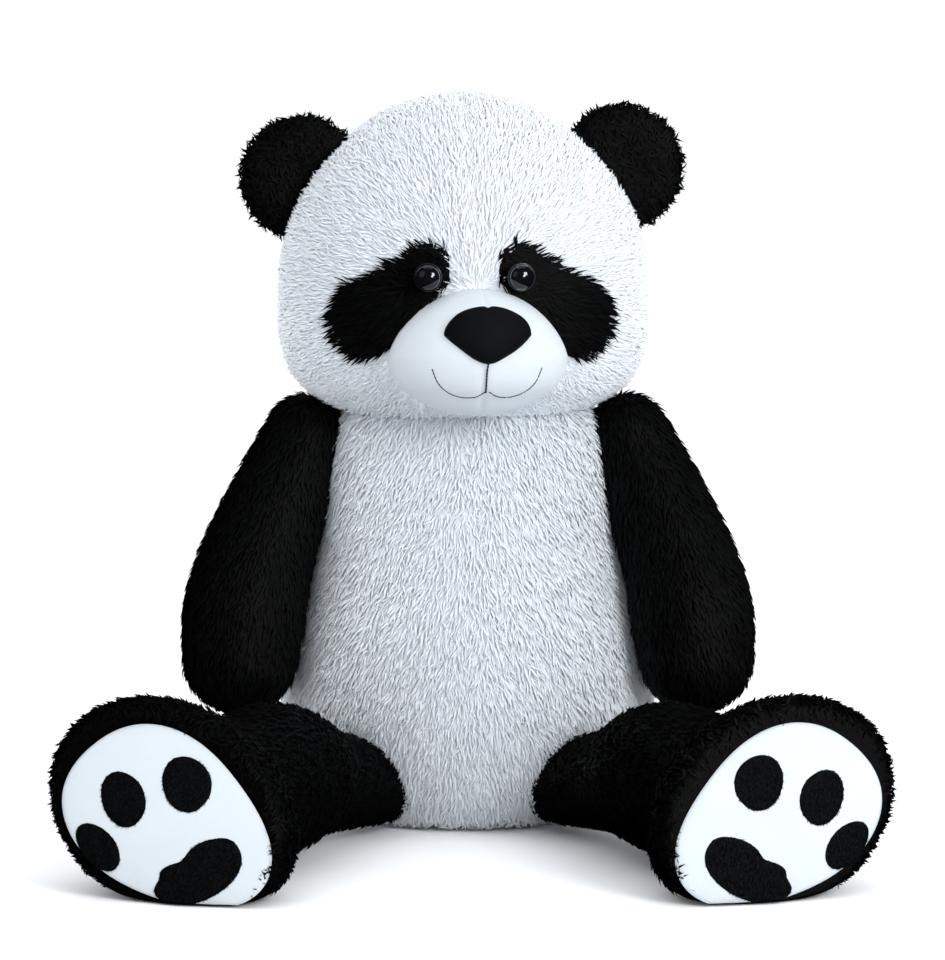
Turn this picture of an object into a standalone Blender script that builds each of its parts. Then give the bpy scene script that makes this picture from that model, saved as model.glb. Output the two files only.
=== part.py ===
"""A large seated plush panda, built as it is sewn: panels, stuffing, safety eyes and pads.

Metres, +Z up. The panda sits on the floor plane z = 0 and faces -Y. X = 0 is its middle.
Every soft piece is drawn at the outer reach of its pile.
"""

import math

import bmesh
import bpy
from mathutils import Matrix, Vector

# Sewing
SEAM_GAP = 0.0003
FILLING_GAP = 0.0012
SKIN = 0.006
THIN_SKIN = 0.003
STITCH = 0.0016

# Body: rows of height, half width, half depth, how far the middle lies forward of the origin
TORSO_ROWS = (
    (0.0, 0.098, 0.080, 0.0),
    (0.018, 0.132, 0.110, 0.0),
    (0.060, 0.163, 0.143, 0.004),
    (0.115, 0.174, 0.155, 0.006),
    (0.180, 0.164, 0.149, 0.005),
    (0.245, 0.1435, 0.131, 0.002),
    (0.300, 0.124, 0.109, 0.0),
    (0.337, 0.104, 0.088, 0.0),
    (0.353, 0.068, 0.058, 0.0),
)
HEAD_ROWS = (
    (0.3690, 0.070, 0.060, 0.002),
    (0.3745, 0.112, 0.094, 0.006),
    (0.3960, 0.148, 0.124, 0.008),
    (0.4350, 0.166, 0.142, 0.006),
    (0.4850, 0.171, 0.148, 0.0),
    (0.5400, 0.166, 0.145, -0.004),
    (0.5900, 0.144, 0.130, -0.006),
    (0.6350, 0.105, 0.098, -0.008),
    (0.6620, 0.060, 0.056, -0.008),
    (0.6740, 0.018, 0.017, -0.008),
)
SEAT_TOP = 0.016
SIDE_SEAM = 0.015
BODY_SIDES = 22
BODY_RINGS = 12
HEAD_RINGS = 13

# Tail and the blank tape sewn in beside it
TAIL_RADIUS = 0.026
TAIL_SQUASH = (1.0, 0.70, 0.9)
TAIL_MIDDLE = Vector((0.0, 0.157, 0.085))
LABEL_SIZE = Vector((0.0008, 0.036, 0.018))
LABEL_MIDDLE = Vector((0.075, 0.134, 0.060))

# Neck: a ball of stuffing on which the head turns and nods
NECK_PIVOT = Vector((0.0, 0.0, 0.360))
NECK_RADIUS = 0.036
HEAD_TURNED = math.radians(3.5)

# Arms, given for the panda's left (+X) side: middle line from shoulder to paw, and radius
ARM_PATH = (
    (0.146, -0.014, 0.322, 0.052),
    (0.182, -0.036, 0.280, 0.055),
    (0.206, -0.062, 0.235, 0.056),
    (0.214, -0.080, 0.185, 0.0555),
    (0.217, -0.089, 0.156, 0.0495),
)
ARM_AXIS = (0.94, -0.25, 0.22)
SHOULDER_ROOM = 0.077
HIP_ROOM = 0.082
LIMB_SIDES = 14
LIMB_SHAFT_RINGS = 5
CAP_RINGS = 3

# Legs, given for the +X side: middle line from hip to ankle, and radius
LEG_PATH = (
    (0.114, -0.096, 0.073, 0.067),
    (0.152, -0.178, 0.072, 0.069),
    (0.188, -0.262, 0.073, 0.070),
)
FOOT_MIDDLE = Vector((0.2610, -0.4040, 0.0740))
FOOT_FACING = Vector((0.26, -0.95, 0.17)).normalized()
TOES_TOWARD = Vector((0.87, 0.0, 0.49))
FOOT_LENGTH = 0.216
FOOT_WIDTH = 0.170
FOOT_DEPTH = 0.105
SOLE_LENGTH = 0.188
SOLE_WIDTH = 0.144
SOLE_SKIN = 0.0035
SOLE_CROWN = 0.006
PAD_SKIN = 0.0025
SOLE_SET_BACK = 0.003
LEG_SEAM = 0.060
LEG_CORE_INSET = 0.0095
FLOOR_CLEAR = 0.0
PRESS_DEPTH = 0.016

# Foot pads: up across the foot, toward the toes, half width, half length
PADS_TURN = math.radians(12)
TOE_PADS = {
    "inner": (0.036, 0.010, 0.0220, 0.0230),
    "middle": (-0.012, 0.0385, 0.0210, 0.0220),
    "outer": (-0.052, 0.0250, 0.0170, 0.0220),
}
HEEL_PAD = (-0.010, -0.040, 0.0390, 0.0280)
HEEL_PAD_NOTCH = 0.30

# Ears, for the +X side
EAR_MIDDLE = Vector((0.147, 0.012, 0.600))
EAR_TILT = math.radians(38)
EAR_RADIUS = 0.060
EAR_THICK = 0.042
EAR_ROOT = 0.036
EAR_ROOT_FLARE = 0.30
EAR_ROOT_GAP = 0.005

# Face
MUZZLE_MIDDLE = Vector((0.0, -0.136, 0.438))
MUZZLE_HALF = Vector((0.083, 0.072, 0.058))
MUZZLE_BACK = -0.118
EYE_PLACE = Vector((0.0415, -0.151, 0.5060))
EYE_RADIUS = 0.0122
EYE_FACING = Vector((0.13, -0.98, -0.06)).normalized()
EYE_SHANK_RADIUS = 0.0030
EYE_SHANK = 0.020
WASHER_RADIUS = 0.0110
WASHER_THICK = 0.0022
PATCH_MIDDLE = Vector((0.086, -0.2, 0.4835))
PATCH_HALF = (0.061, 0.041)
PATCH_TURN = math.radians(-38)
PATCH_THICK = 0.006
PATCH_LIFT = 0.0030
NOSE_MIDDLE = Vector((0.0, -0.2075, 0.4600))
NOSE_HALF = Vector((0.038, 0.016, 0.026))

SNOW = ("white_pile", (0.86, 0.88, 0.92, 1.0), 0.85)
COAL = ("black_pile", (0.012, 0.012, 0.014, 1.0), 0.80)
VELVET = ("white_short_pile", (0.88, 0.89, 0.93, 1.0), 0.90)
INK = ("black_short_pile", (0.010, 0.010, 0.012, 1.0), 0.90)
FIBRE = ("stuffing", (0.93, 0.93, 0.91, 1.0), 0.95)
GLOSS = ("eye_gloss", (0.006, 0.005, 0.006, 1.0), 0.06)
PLASTIC = ("washer_plastic", (0.80, 0.80, 0.78, 1.0), 0.40)
THREAD = ("black_thread", (0.010, 0.010, 0.012, 1.0), 0.70)
TAPE = ("label_tape", (0.90, 0.90, 0.88, 1.0), 0.70)


def clear_scene():
    for old in list(bpy.data.objects):
        bpy.data.objects.remove(old, do_unlink=True)


def finish_of(finish):
    name, colour, roughness = finish
    known = bpy.data.materials.get(name)
    if known:
        return known
    made = bpy.data.materials.new(name)
    made.use_nodes = True
    shader = made.node_tree.nodes["Principled BSDF"]
    shader.inputs["Base Color"].default_value = colour
    shader.inputs["Roughness"].default_value = roughness
    shader.inputs["Metallic"].default_value = 0.0
    made.diffuse_color = colour
    return made


def add_object(name, bm, finish=None):
    """Links a bmesh as a named object, with its faces turned outwards."""
    mesh = bpy.data.meshes.new(name)
    bm.to_mesh(mesh)
    bm.free()
    made = bpy.data.objects.new(name, mesh)
    bpy.context.scene.collection.objects.link(made)
    if finish:
        mesh.materials.append(finish_of(finish))
    return made


def outward(bm):
    bmesh.ops.recalc_face_normals(bm, faces=bm.faces)
    return bm


def joint_empty(name, place):
    empty = bpy.data.objects.new(name, None)
    empty.location = place
    bpy.context.scene.collection.objects.link(empty)
    return empty


def hang_on(child, empty):
    """Parents child to an unturned empty and keeps the child where it is."""
    child.parent = empty
    child.location = child.location - empty.location


def smooth_row(rows, share):
    """A row of numbers at share (0 to 1) of the way along rows, on a Catmull-Rom curve."""
    span = share * (len(rows) - 1)
    first = min(int(span), len(rows) - 2)
    t = span - first
    a = rows[max(first - 1, 0)]
    b = rows[first]
    c = rows[first + 1]
    d = rows[min(first + 2, len(rows) - 1)]
    found = []
    for p, q, r, s in zip(a, b, c, d):
        curve = 2 * q + (r - p) * t + (2 * p - 5 * q + 4 * r - s) * t * t
        found.append((curve + (3 * q - p - 3 * r + s) * t ** 3) / 2)
    return found


def ring_frame(middle, facing, side, across, along, started_at=None):
    """The matrix that takes the unit circle to an ellipse at middle, facing along its axis.

    side is the way of the across half size. The circle starts there, or at started_at.
    """
    axis = Vector(facing).normalized()
    wide = (Vector(side) - axis * axis.dot(Vector(side))).normalized()
    deep = axis.cross(wide)
    frame = Matrix((wide * across, deep * along, axis)).transposed().to_4x4()
    frame.translation = middle
    if started_at is not None:
        start = Vector(started_at)
        frame = frame @ Matrix.Rotation(math.atan2(deep.dot(start), wide.dot(start)), 4, "Z")
    return frame


def loft(rings, sides):
    """A closed skin through rings, each a matrix for the unit circle."""
    bm = bmesh.new()
    bmesh.ops.create_circle(bm, cap_ends=True, segments=sides, radius=1.0, matrix=rings[0])
    edges = bm.edges[:]
    for before, after in zip(rings, rings[1:]):
        grown = bmesh.ops.extrude_edge_only(bm, edges=edges)["geom"]
        verts = {item for item in grown if isinstance(item, bmesh.types.BMVert)}
        bmesh.ops.transform(bm, matrix=after @ before.inverted(), verts=list(verts))
        edges = [e for e in bm.edges if e.verts[0] in verts and e.verts[1] in verts]
    bmesh.ops.edgeloop_fill(bm, edges=edges)
    for cap in [face for face in bm.faces if len(face.verts) == sides]:
        bmesh.ops.poke(bm, faces=[cap])
    return outward(bm)


def standing_rings(rows, count):
    """Level rings up a body or a head, from its rows."""
    rings = []
    for step in range(count):
        share = (1 - math.cos(math.pi * step / (count - 1))) / 2
        share = (share + step / (count - 1)) / 2
        height, half_width, half_depth, forward = smooth_row(rows, share)
        middle = (0.0, -forward, height)
        rings.append(ring_frame(middle, (0, 0, 1), (1, 0, 0), half_width, half_depth))
    return rings


def limb_middle(path, share):
    x, y, z, radius = smooth_row(path, share)
    return Vector((x, y, z)), radius


def limb_run(path, share):
    step = 0.02
    behind, _ = limb_middle(path, max(share - step, 0.0))
    ahead, _ = limb_middle(path, min(share + step, 1.0))
    return (ahead - behind).normalized()


def shrunk(skin_mesh, depth):
    """A copy of a closed bmesh with every point moved in along its normal."""
    inner = skin_mesh.copy()
    inner.normal_update()
    for vert in inner.verts:
        vert.co -= vert.normal * depth * vert.calc_shell_factor()
    return inner


def hidden_tool(name, bm, parent=None):
    """A guide form that only cuts other pieces, turning with parent if there is one."""
    tool = add_object(name, outward(bm))
    tool.hide_render = True
    tool.display_type = "WIRE"
    if parent:
        hang_on(tool, parent)
    return tool


def box_tool(name, low, high, parent=None):
    """A guide box for keeping or cutting a part of a skin."""
    bm = bmesh.new()
    bmesh.ops.create_cube(bm, size=1.0)
    low, high = Vector(low), Vector(high)
    bmesh.ops.scale(bm, vec=high - low, verts=bm.verts)
    bmesh.ops.translate(bm, vec=(low + high) / 2, verts=bm.verts)
    return hidden_tool(name, bm, parent)


def ball_tool(name, middle, radius, parent=None):
    bm = bmesh.new()
    bmesh.ops.create_icosphere(bm, subdivisions=3, radius=radius)
    bmesh.ops.translate(bm, vec=middle, verts=bm.verts)
    return hidden_tool(name, bm, parent)


def settle(made, steps):
    """Runs boolean steps on an object: pairs of operation and tool."""
    for operation, tool in steps:
        cut = made.modifiers.new(operation.lower(), "BOOLEAN")
        cut.operation = operation
        cut.object = tool
        cut.solver = "EXACT"
    return made


def sewn_panel(name, outer, finish, regions, hollows, parent):
    """One panel of a cover: the outer form inside every region, less every hollow."""
    made = add_object(name, outer.copy(), finish)
    settle(made, [("INTERSECT", tool) for tool in regions])
    settle(made, [("DIFFERENCE", tool) for tool in hollows])
    hang_on(made, parent)
    return made


def half_space(name, axis, sign, at=0.0, parent=None, reach=1.5):
    """A big box on one side of a plane, stopping half a seam short of it."""
    low = [-reach, -reach, -reach]
    high = [reach, reach, reach]
    edge = at + sign * SEAM_GAP / 2
    if sign > 0:
        low[axis] = edge
    else:
        high[axis] = edge
    return box_tool(name, low, high, parent)


def mirrored(point, side):
    return Vector((point[0] * side, point[1], point[2]))


def side_name(side):
    return "left" if side > 0 else "right"


def limb_rings(path, side, end_rounded=True, inset=0.0):
    """Rings down a limb, from a half-ball root to its far end, on one side of the body."""
    path = [(x, y, z, radius - inset) for x, y, z, radius in path]
    rings = []
    sideways = Vector((side, 0, 0))
    root, root_radius = limb_middle(path, 0.0)
    run = limb_run(path, 0.0)
    for step in range(CAP_RINGS, 0, -1):
        angle = math.radians(82) * step / CAP_RINGS
        middle = root - run * root_radius * math.sin(angle)
        radius = root_radius * math.cos(angle)
        rings.append((middle, run, radius))
    for step in range(LIMB_SHAFT_RINGS):
        share = step / (LIMB_SHAFT_RINGS - 1)
        middle, radius = limb_middle(path, share)
        rings.append((middle, limb_run(path, share), radius))
    if end_rounded:
        tip, tip_radius = limb_middle(path, 1.0)
        run = limb_run(path, 1.0)
        for step in range(1, CAP_RINGS + 1):
            angle = math.radians(82) * step / CAP_RINGS
            middle = tip + run * tip_radius * math.sin(angle)
            rings.append((middle, run, tip_radius * math.cos(angle)))
    return [
        ring_frame(mirrored(m, side), mirrored(r, side), sideways, radius, radius)
        for m, r, radius in rings
    ]


def foot_axes(side):
    """The way the sole faces, the way the toes point, and the way across the foot."""
    facing = mirrored(FOOT_FACING, side)
    toes = mirrored(TOES_TOWARD, side)
    toes = (toes - facing * facing.dot(toes)).normalized()
    across = facing.cross(toes) * side
    return facing, toes, across


def foot_frame(side, lift=0.0):
    """Foot coordinates: x up across the sole, y toward the toes, z out of the sole."""
    facing, toes, across = foot_axes(side)
    frame = Matrix((across, toes, facing)).transposed().to_4x4()
    frame.translation = mirrored(FOOT_MIDDLE, side) + facing * lift
    return frame


def leg_rings(side, inset=0.0):
    """Rings from the hip to the ankle and on through the foot to the rim of the sole.

    With an inset the form is that much smaller and runs straight out through the sole.
    """
    rings = limb_rings(LEG_PATH, side, end_rounded=False, inset=inset)
    facing, toes, _ = foot_axes(side)
    rows = [(0.62, 0.80, 0.90), (0.36, 0.96, 0.985), (0.16, 1.00, 1.00)]
    if inset:
        rows += [(-0.10, 0.905, 0.885)]
    else:
        rows += [(0.05, 0.965, 0.955), (0.00, 0.905, 0.885)]
    for back, long_share, wide_share in rows:
        middle = mirrored(FOOT_MIDDLE, side) - facing * FOOT_DEPTH * back
        half_length = FOOT_LENGTH / 2 * long_share - inset
        half_width = FOOT_WIDTH / 2 * wide_share - inset
        rings.append(ring_frame(middle, facing, toes, half_length, half_width, (side, 0, 0)))
    return rings


def rest_on_floor(bm, clear):
    """Presses whatever would sink below the floor flat, with a soft turn into the flat."""
    for vert in bm.verts:
        height = vert.co.z - clear
        if height < PRESS_DEPTH:
            share = max((height + PRESS_DEPTH) / (2 * PRESS_DEPTH), 0.0)
            vert.co.z = clear + PRESS_DEPTH * share * share
    return bm


def sole_form(side, half_length, half_width, thickness, lift, middle=(0.0, 0.0), notch=0.0, turn=0.0):
    """A crowned oval plate in foot coordinates, turned about their middle if asked.

    A notch hollows its edge toward the toes.
    """
    bm = bmesh.new()
    segments = 22
    bmesh.ops.create_circle(bm, cap_ends=True, segments=segments, radius=1.0)
    bmesh.ops.inset_region(bm, faces=bm.faces[:], thickness=0.35, use_even_offset=True)
    bmesh.ops.poke(bm, faces=[f for f in bm.faces if len(f.verts) == segments])
    top = bm.faces[:]
    grown = bmesh.ops.extrude_face_region(bm, geom=top)["geom"]
    raised = [item for item in grown if isinstance(item, bmesh.types.BMVert)]
    bmesh.ops.translate(bm, vec=(0, 0, thickness), verts=raised)
    for vert in bm.verts:
        x, y = vert.co.x, vert.co.y
        if y > 0:
            y *= 1 - notch * (1 - abs(x))
        place = Vector((x * half_width + middle[0], y * half_length + middle[1]))
        place.rotate(Matrix.Rotation(-turn, 2))
        dome = 1 - (2 * place.x / SOLE_WIDTH) ** 2 - (2 * place.y / SOLE_LENGTH) ** 2
        rise = vert.co.z + lift + SOLE_CROWN * max(dome, -0.1)
        vert.co = Vector((place.x, place.y, rise))
    bmesh.ops.transform(bm, matrix=foot_frame(side), verts=bm.verts)
    return outward(bm)


def build_torso(root):
    """Belly, back and seat panels around one filling, with round openings for the limbs."""
    outer = loft(standing_rings(TORSO_ROWS, BODY_RINGS), BODY_SIDES)
    sockets = [ball_tool("neck_socket", NECK_PIVOT, NECK_RADIUS + SEAM_GAP * 3)]
    for side in (1, -1):
        for limb, path, radius in (("shoulder", ARM_PATH, SHOULDER_ROOM), ("hip", LEG_PATH, HIP_ROOM)):
            middle, _ = limb_middle(path, 0.0)
            name = f"{limb}_socket_{side_name(side)}"
            sockets.append(ball_tool(name, mirrored(middle, side), radius))
    core = add_object("torso_stuffing", shrunk(outer, SKIN + FILLING_GAP), FIBRE)
    hang_on(settle(core, [("DIFFERENCE", tool) for tool in sockets]), root)

    hollows = [hidden_tool("torso_hollow", shrunk(outer, SKIN))] + sockets
    low = box_tool("seat_region", (-1, -1, -1), (1, 1, SEAT_TOP - SEAM_GAP / 2))
    high = box_tool("body_region", (-1, -1, SEAT_TOP + SEAM_GAP / 2), (1, 1, 1))
    sewn_panel("seat_panel", outer, SNOW, [low], hollows, root)
    for side in (1, -1):
        half = half_space(f"torso_{side_name(side)}_region", 0, side)
        for name, y_sign in (("belly", -1), ("back", 1)):
            part = half_space(f"{name}_{side_name(side)}_region", 1, y_sign, at=SIDE_SEAM)
            label = f"{name}_panel_{side_name(side)}"
            sewn_panel(label, outer, SNOW, [high, half, part], hollows, root)
    back_room = hidden_tool("back_clearance", grown_form(outer, SEAM_GAP))
    outer.free()
    return back_room


def build_tail(root, back_room):
    """A short stub of a tail, sewn low on the back, and the blank tape beside it."""
    bm = bmesh.new()
    bmesh.ops.create_icosphere(bm, subdivisions=2, radius=TAIL_RADIUS)
    bmesh.ops.scale(bm, vec=TAIL_SQUASH, verts=bm.verts)
    bmesh.ops.translate(bm, vec=TAIL_MIDDLE, verts=bm.verts)
    cut = [("DIFFERENCE", back_room)]
    hang_on(settle(add_object("tail", bm, SNOW), cut), root)
    bm = bmesh.new()
    bmesh.ops.create_cube(bm, size=1.0)
    bmesh.ops.scale(bm, vec=LABEL_SIZE, verts=bm.verts)
    bmesh.ops.translate(bm, vec=LABEL_MIDDLE, verts=bm.verts)
    hang_on(settle(add_object("blank_label", bm, TAPE), cut), root)


def build_neck(neck):
    bm = bmesh.new()
    bmesh.ops.create_icosphere(bm, subdivisions=3, radius=NECK_RADIUS)
    bmesh.ops.translate(bm, vec=NECK_PIVOT, verts=bm.verts)
    hang_on(add_object("neck_stuffing", bm, FIBRE), neck)


def head_outer():
    return loft(standing_rings(HEAD_ROWS, HEAD_RINGS), BODY_SIDES)


def head_half(row_height, what):
    """Half width (1), half depth (2) or forward shift (3) of the head at a height."""
    low, high = 0.0, 1.0
    for _ in range(30):
        middle = (low + high) / 2
        if smooth_row(HEAD_ROWS, middle)[0] < row_height:
            low = middle
        else:
            high = middle
    return smooth_row(HEAD_ROWS, low)[what]


def face_point(x, z, out=0.0):
    """The point of the face at x and z, moved out along the face by out."""
    half_width = head_half(z, 1)
    half_depth = head_half(z, 2)
    share = min(abs(x) / half_width, 0.97)
    y = -head_half(z, 3) - half_depth * math.sqrt(1 - share * share)
    slope = x * half_depth / (half_width * half_width * math.sqrt(1 - share * share))
    normal = Vector((slope, -1.0, 0.0)).normalized()
    return Vector((x, y, z)) + normal * out


def patch_form(side, lift):
    """A thick oval of pile laid on the face around one eye."""
    bm = bmesh.new()
    segments = 22
    bmesh.ops.create_circle(bm, cap_ends=True, segments=segments, radius=1.0)
    bmesh.ops.inset_region(bm, faces=bm.faces[:], thickness=0.30, use_even_offset=True)
    bmesh.ops.inset_region(bm, faces=[f for f in bm.faces if len(f.verts) == segments], thickness=0.32)
    bmesh.ops.poke(bm, faces=[f for f in bm.faces if len(f.verts) == segments])
    top = bm.faces[:]
    grown = bmesh.ops.extrude_face_region(bm, geom=top)["geom"]
    raised = [item for item in grown if isinstance(item, bmesh.types.BMVert)]
    for vert in bm.verts:
        high = vert in raised
        bean = 0.16 * (1 - vert.co.x ** 2)
        x = vert.co.x * PATCH_HALF[0]
        z = (vert.co.y - bean + 0.08) * PATCH_HALF[1]
        turned_x = x * math.cos(PATCH_TURN) - z * math.sin(PATCH_TURN)
        turned_z = x * math.sin(PATCH_TURN) + z * math.cos(PATCH_TURN)
        out = lift + (PATCH_THICK if high else 0.0)
        place = face_point((turned_x + PATCH_MIDDLE.x), turned_z + PATCH_MIDDLE.z, out)
        vert.co = mirrored(place, side)
    return outward(bm)


def muzzle_form():
    """The snout: broad and low, a little fuller at the cheeks than at the bridge."""
    bm = bmesh.new()
    bmesh.ops.create_uvsphere(bm, u_segments=18, v_segments=10, radius=1.0)
    for vert in bm.verts:
        x, y, z = vert.co
        broad = 1.0 - 0.10 * z
        vert.co = Vector((x * broad, y, z * (1.0 - 0.10 * abs(x))))
    bmesh.ops.scale(bm, vec=MUZZLE_HALF, verts=bm.verts)
    bmesh.ops.translate(bm, vec=MUZZLE_MIDDLE, verts=bm.verts)
    return bm


def nose_form():
    """A padded rounded triangle, broad above and narrow below."""
    bm = bmesh.new()
    bmesh.ops.create_icosphere(bm, subdivisions=2, radius=1.0)
    for vert in bm.verts:
        taper = 1.0 - 0.42 * max(0.0, 0.35 - vert.co.z)
        vert.co.x *= taper
    bmesh.ops.scale(bm, vec=NOSE_HALF, verts=bm.verts)
    bmesh.ops.rotate(bm, matrix=Matrix.Rotation(math.radians(-14), 3, "X"), verts=bm.verts)
    bmesh.ops.translate(bm, vec=NOSE_MIDDLE, verts=bm.verts)
    return bm


def peg_form(facing, place, parts, segments=12):
    """Round steps along an axis: pairs of distance along the axis and radius."""
    rings = [
        ring_frame(place + facing * along, facing, (0, 0, 1), radius, radius)
        for along, radius in parts
    ]
    return loft(rings, segments)


def build_eye(side, head):
    """A domed safety eye with its shank through the patch, and the washer that locks it."""
    facing = mirrored(EYE_FACING, side)
    seat_height = PATCH_LIFT + PATCH_THICK * 0.4
    place = mirrored(face_point(EYE_PLACE.x, EYE_PLACE.z, seat_height), side)
    parts = [(-EYE_SHANK, EYE_SHANK_RADIUS), (-0.0005, EYE_SHANK_RADIUS), (0.0, EYE_RADIUS * 0.93)]
    for step in range(4):
        angle = math.radians(80) * step / 3
        parts.append((0.0022 + 0.0095 * math.sin(angle), EYE_RADIUS * math.cos(angle)))
    eye = add_object(f"eye_{side_name(side)}", peg_form(facing, place, parts), GLOSS)
    hang_on(eye, head)
    hole = hidden_tool(
        f"eye_hole_{side_name(side)}",
        peg_form(facing, place, [(-0.045, EYE_SHANK_RADIUS + 0.0004), (0.001, EYE_SHANK_RADIUS + 0.0004)]),
        head,
    )
    behind = seat_height + SKIN + 0.0045
    ring = [(-behind - WASHER_THICK, WASHER_RADIUS), (-behind, WASHER_RADIUS)]
    washer = add_object(f"eye_washer_{side_name(side)}", peg_form(facing, place, ring), PLASTIC)
    hang_on(settle(washer, [("DIFFERENCE", hole)]), head)
    room = [(-0.030, WASHER_RADIUS + 0.001), (-0.004, WASHER_RADIUS + 0.001)]
    pocket = hidden_tool(f"washer_room_{side_name(side)}", peg_form(facing, place, room), head)
    nest = [(-0.0006, EYE_RADIUS + 0.0006), (0.03, EYE_RADIUS + 0.0006)]
    seat = hidden_tool(f"eye_seat_{side_name(side)}", peg_form(facing, place, nest), head)
    return hole, pocket, seat


def ear_frame(side):
    """Ear coordinates: x along the head's seam, y back, z away from the head."""
    frame = Matrix.Rotation(EAR_TILT * side, 4, "Y")
    frame.translation = mirrored(EAR_MIDDLE, side)
    return frame


def ear_form(side):
    """A thick round ear, a little wider at its root."""
    bm = bmesh.new()
    bmesh.ops.create_uvsphere(bm, u_segments=18, v_segments=8, radius=1.0)
    bmesh.ops.rotate(bm, matrix=Matrix.Rotation(math.pi / 2, 3, "X"), verts=bm.verts)
    for vert in bm.verts:
        x, y, z = vert.co
        root = max(0.0, -z)
        vert.co = Vector((x * (1 + EAR_ROOT_FLARE * root * 0.6), math.copysign(abs(y) ** 0.8, y), z))
    bmesh.ops.scale(bm, vec=(EAR_RADIUS, EAR_THICK / 2, EAR_RADIUS), verts=bm.verts)
    bmesh.ops.transform(bm, matrix=ear_frame(side), verts=bm.verts)
    return bm


def build_ear(side, head_keep_out, ear):
    """Front and back panels over a thin pad of filling, open along the head's seam."""
    name = side_name(side)
    outer = outward(ear_form(side))
    pad = add_object(f"ear_stuffing_{name}", shrunk(outer, SKIN + FILLING_GAP), FIBRE)
    hang_on(settle(pad, [("DIFFERENCE", head_keep_out)]), ear)
    hollows = [hidden_tool(f"ear_hollow_{name}", shrunk(outer, SKIN), ear), head_keep_out]
    for label, y_sign in (("front", -1), ("back", 1)):
        part = half_space(f"ear_{label}_{name}_region", 1, y_sign, EAR_MIDDLE.y, ear)
        sewn_panel(f"ear_{label}_{name}", outer, COAL, [part], hollows, ear)
    outer.free()


def stitch_curve(name, points, parent, thickness=STITCH):
    """A length of thick thread along points."""
    data = bpy.data.curves.new(name, "CURVE")
    data.dimensions = "3D"
    data.bevel_depth = thickness / 2
    data.bevel_resolution = 1
    data.resolution_u = 3
    data.use_fill_caps = True
    data.materials.append(finish_of(THREAD))
    spline = data.splines.new("BEZIER")
    spline.bezier_points.add(len(points) - 1)
    for knot, point in zip(spline.bezier_points, points):
        knot.co = point
        knot.handle_left_type = "AUTO"
        knot.handle_right_type = "AUTO"
    made = bpy.data.objects.new(name, data)
    bpy.context.scene.collection.objects.link(made)
    hang_on(made, parent)
    return made


def muzzle_point(x, z, out):
    """The point on the front of the snout at x and z, moved forward by out."""
    rise = (z - MUZZLE_MIDDLE.z) / MUZZLE_HALF.z
    wide = x / MUZZLE_HALF.x
    inside = max(1 - rise * rise - wide * wide, 0.02)
    return Vector((x, MUZZLE_MIDDLE.y - MUZZLE_HALF.y * math.sqrt(inside) - out, z))


def build_head(head, ears):
    outer = head_outer()
    neck = ball_tool("head_neck_socket", NECK_PIVOT, NECK_RADIUS + SEAM_GAP * 3, head)
    snout = muzzle_form()
    snout_room = hidden_tool("muzzle_region", grown_form(snout, SEAM_GAP), head)
    face_cut = half_space("muzzle_front_region", 1, -1, MUZZLE_BACK, head)
    face_room = hidden_tool("face_clearance", grown_form(outer, SEAM_GAP), head)
    holes = []
    for side in (1, -1):
        holes.append(build_eye(side, head))

    core = add_object("head_stuffing", shrunk(outer, SKIN + FILLING_GAP), FIBRE)
    steps = [("DIFFERENCE", neck), ("DIFFERENCE", snout_room)]
    for hole, pocket, _ in holes:
        steps += [("DIFFERENCE", hole), ("DIFFERENCE", pocket)]
    hang_on(settle(core, steps), head)
    hollow = hidden_tool("head_hollow", shrunk(outer, SKIN), head)
    for side in (1, -1):
        name = side_name(side)
        half = half_space(f"head_{name}_region", 0, side, 0.0, head)
        hole, _, seat = holes[0] if side > 0 else holes[1]
        for label, y_sign, cuts in (("face", -1, [snout_room, hole]), ("back", 1, [])):
            part = half_space(f"head_{label}_{name}_region", 1, y_sign, EAR_MIDDLE.y, head)
            title = f"head_{label}_panel_{name}"
            sewn_panel(title, outer, SNOW, [half, part], [hollow, neck] + cuts, head)
        patch = add_object(f"eye_patch_{name}", patch_form(side, PATCH_LIFT), COAL)
        cuts = [("DIFFERENCE", tool) for tool in (face_room, snout_room, hole, seat)]
        hang_on(settle(patch, cuts), head)
        clearance = hidden_tool(f"ear_clearance_{name}", grown_form(outer, EAR_ROOT_GAP), head)
        build_ear(side, clearance, ears[side])

    snout_hollow = hidden_tool("muzzle_hollow", shrunk(snout, THIN_SKIN), head)
    sewn_panel("muzzle_cover", snout, VELVET, [face_cut], [snout_hollow], head)
    pad = add_object("muzzle_stuffing", shrunk(snout, THIN_SKIN + FILLING_GAP), FIBRE)
    hang_on(settle(pad, [("INTERSECT", face_cut)]), head)
    nose = add_object("nose", nose_form(), INK)
    nose_room = hidden_tool("nose_clearance", grown_form(snout, SEAM_GAP), head)
    hang_on(settle(nose, [("DIFFERENCE", nose_room)]), head)

    lift = STITCH / 2 + 0.0012
    middle = [(0.0, 0.4315), (0.0, 0.420), (0.0, 0.4085)]
    stitch_curve("mouth_stitch_middle", [muzzle_point(x, z, lift) for x, z in middle], head)
    for side in (1, -1):
        smile = [(0.0014, 0.4055), (0.012, 0.3985), (0.030, 0.3985), (0.043, 0.4100), (0.048, 0.4260)]
        points = [muzzle_point(x * side, z, lift) for x, z in smile]
        stitch_curve(f"mouth_stitch_{side_name(side)}", points, head)
    outer.free()
    snout.free()


def grown_form(form, amount):
    bigger = form.copy()
    bigger.normal_update()
    for vert in bigger.verts:
        vert.co += vert.normal * amount
    return bigger


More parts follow.
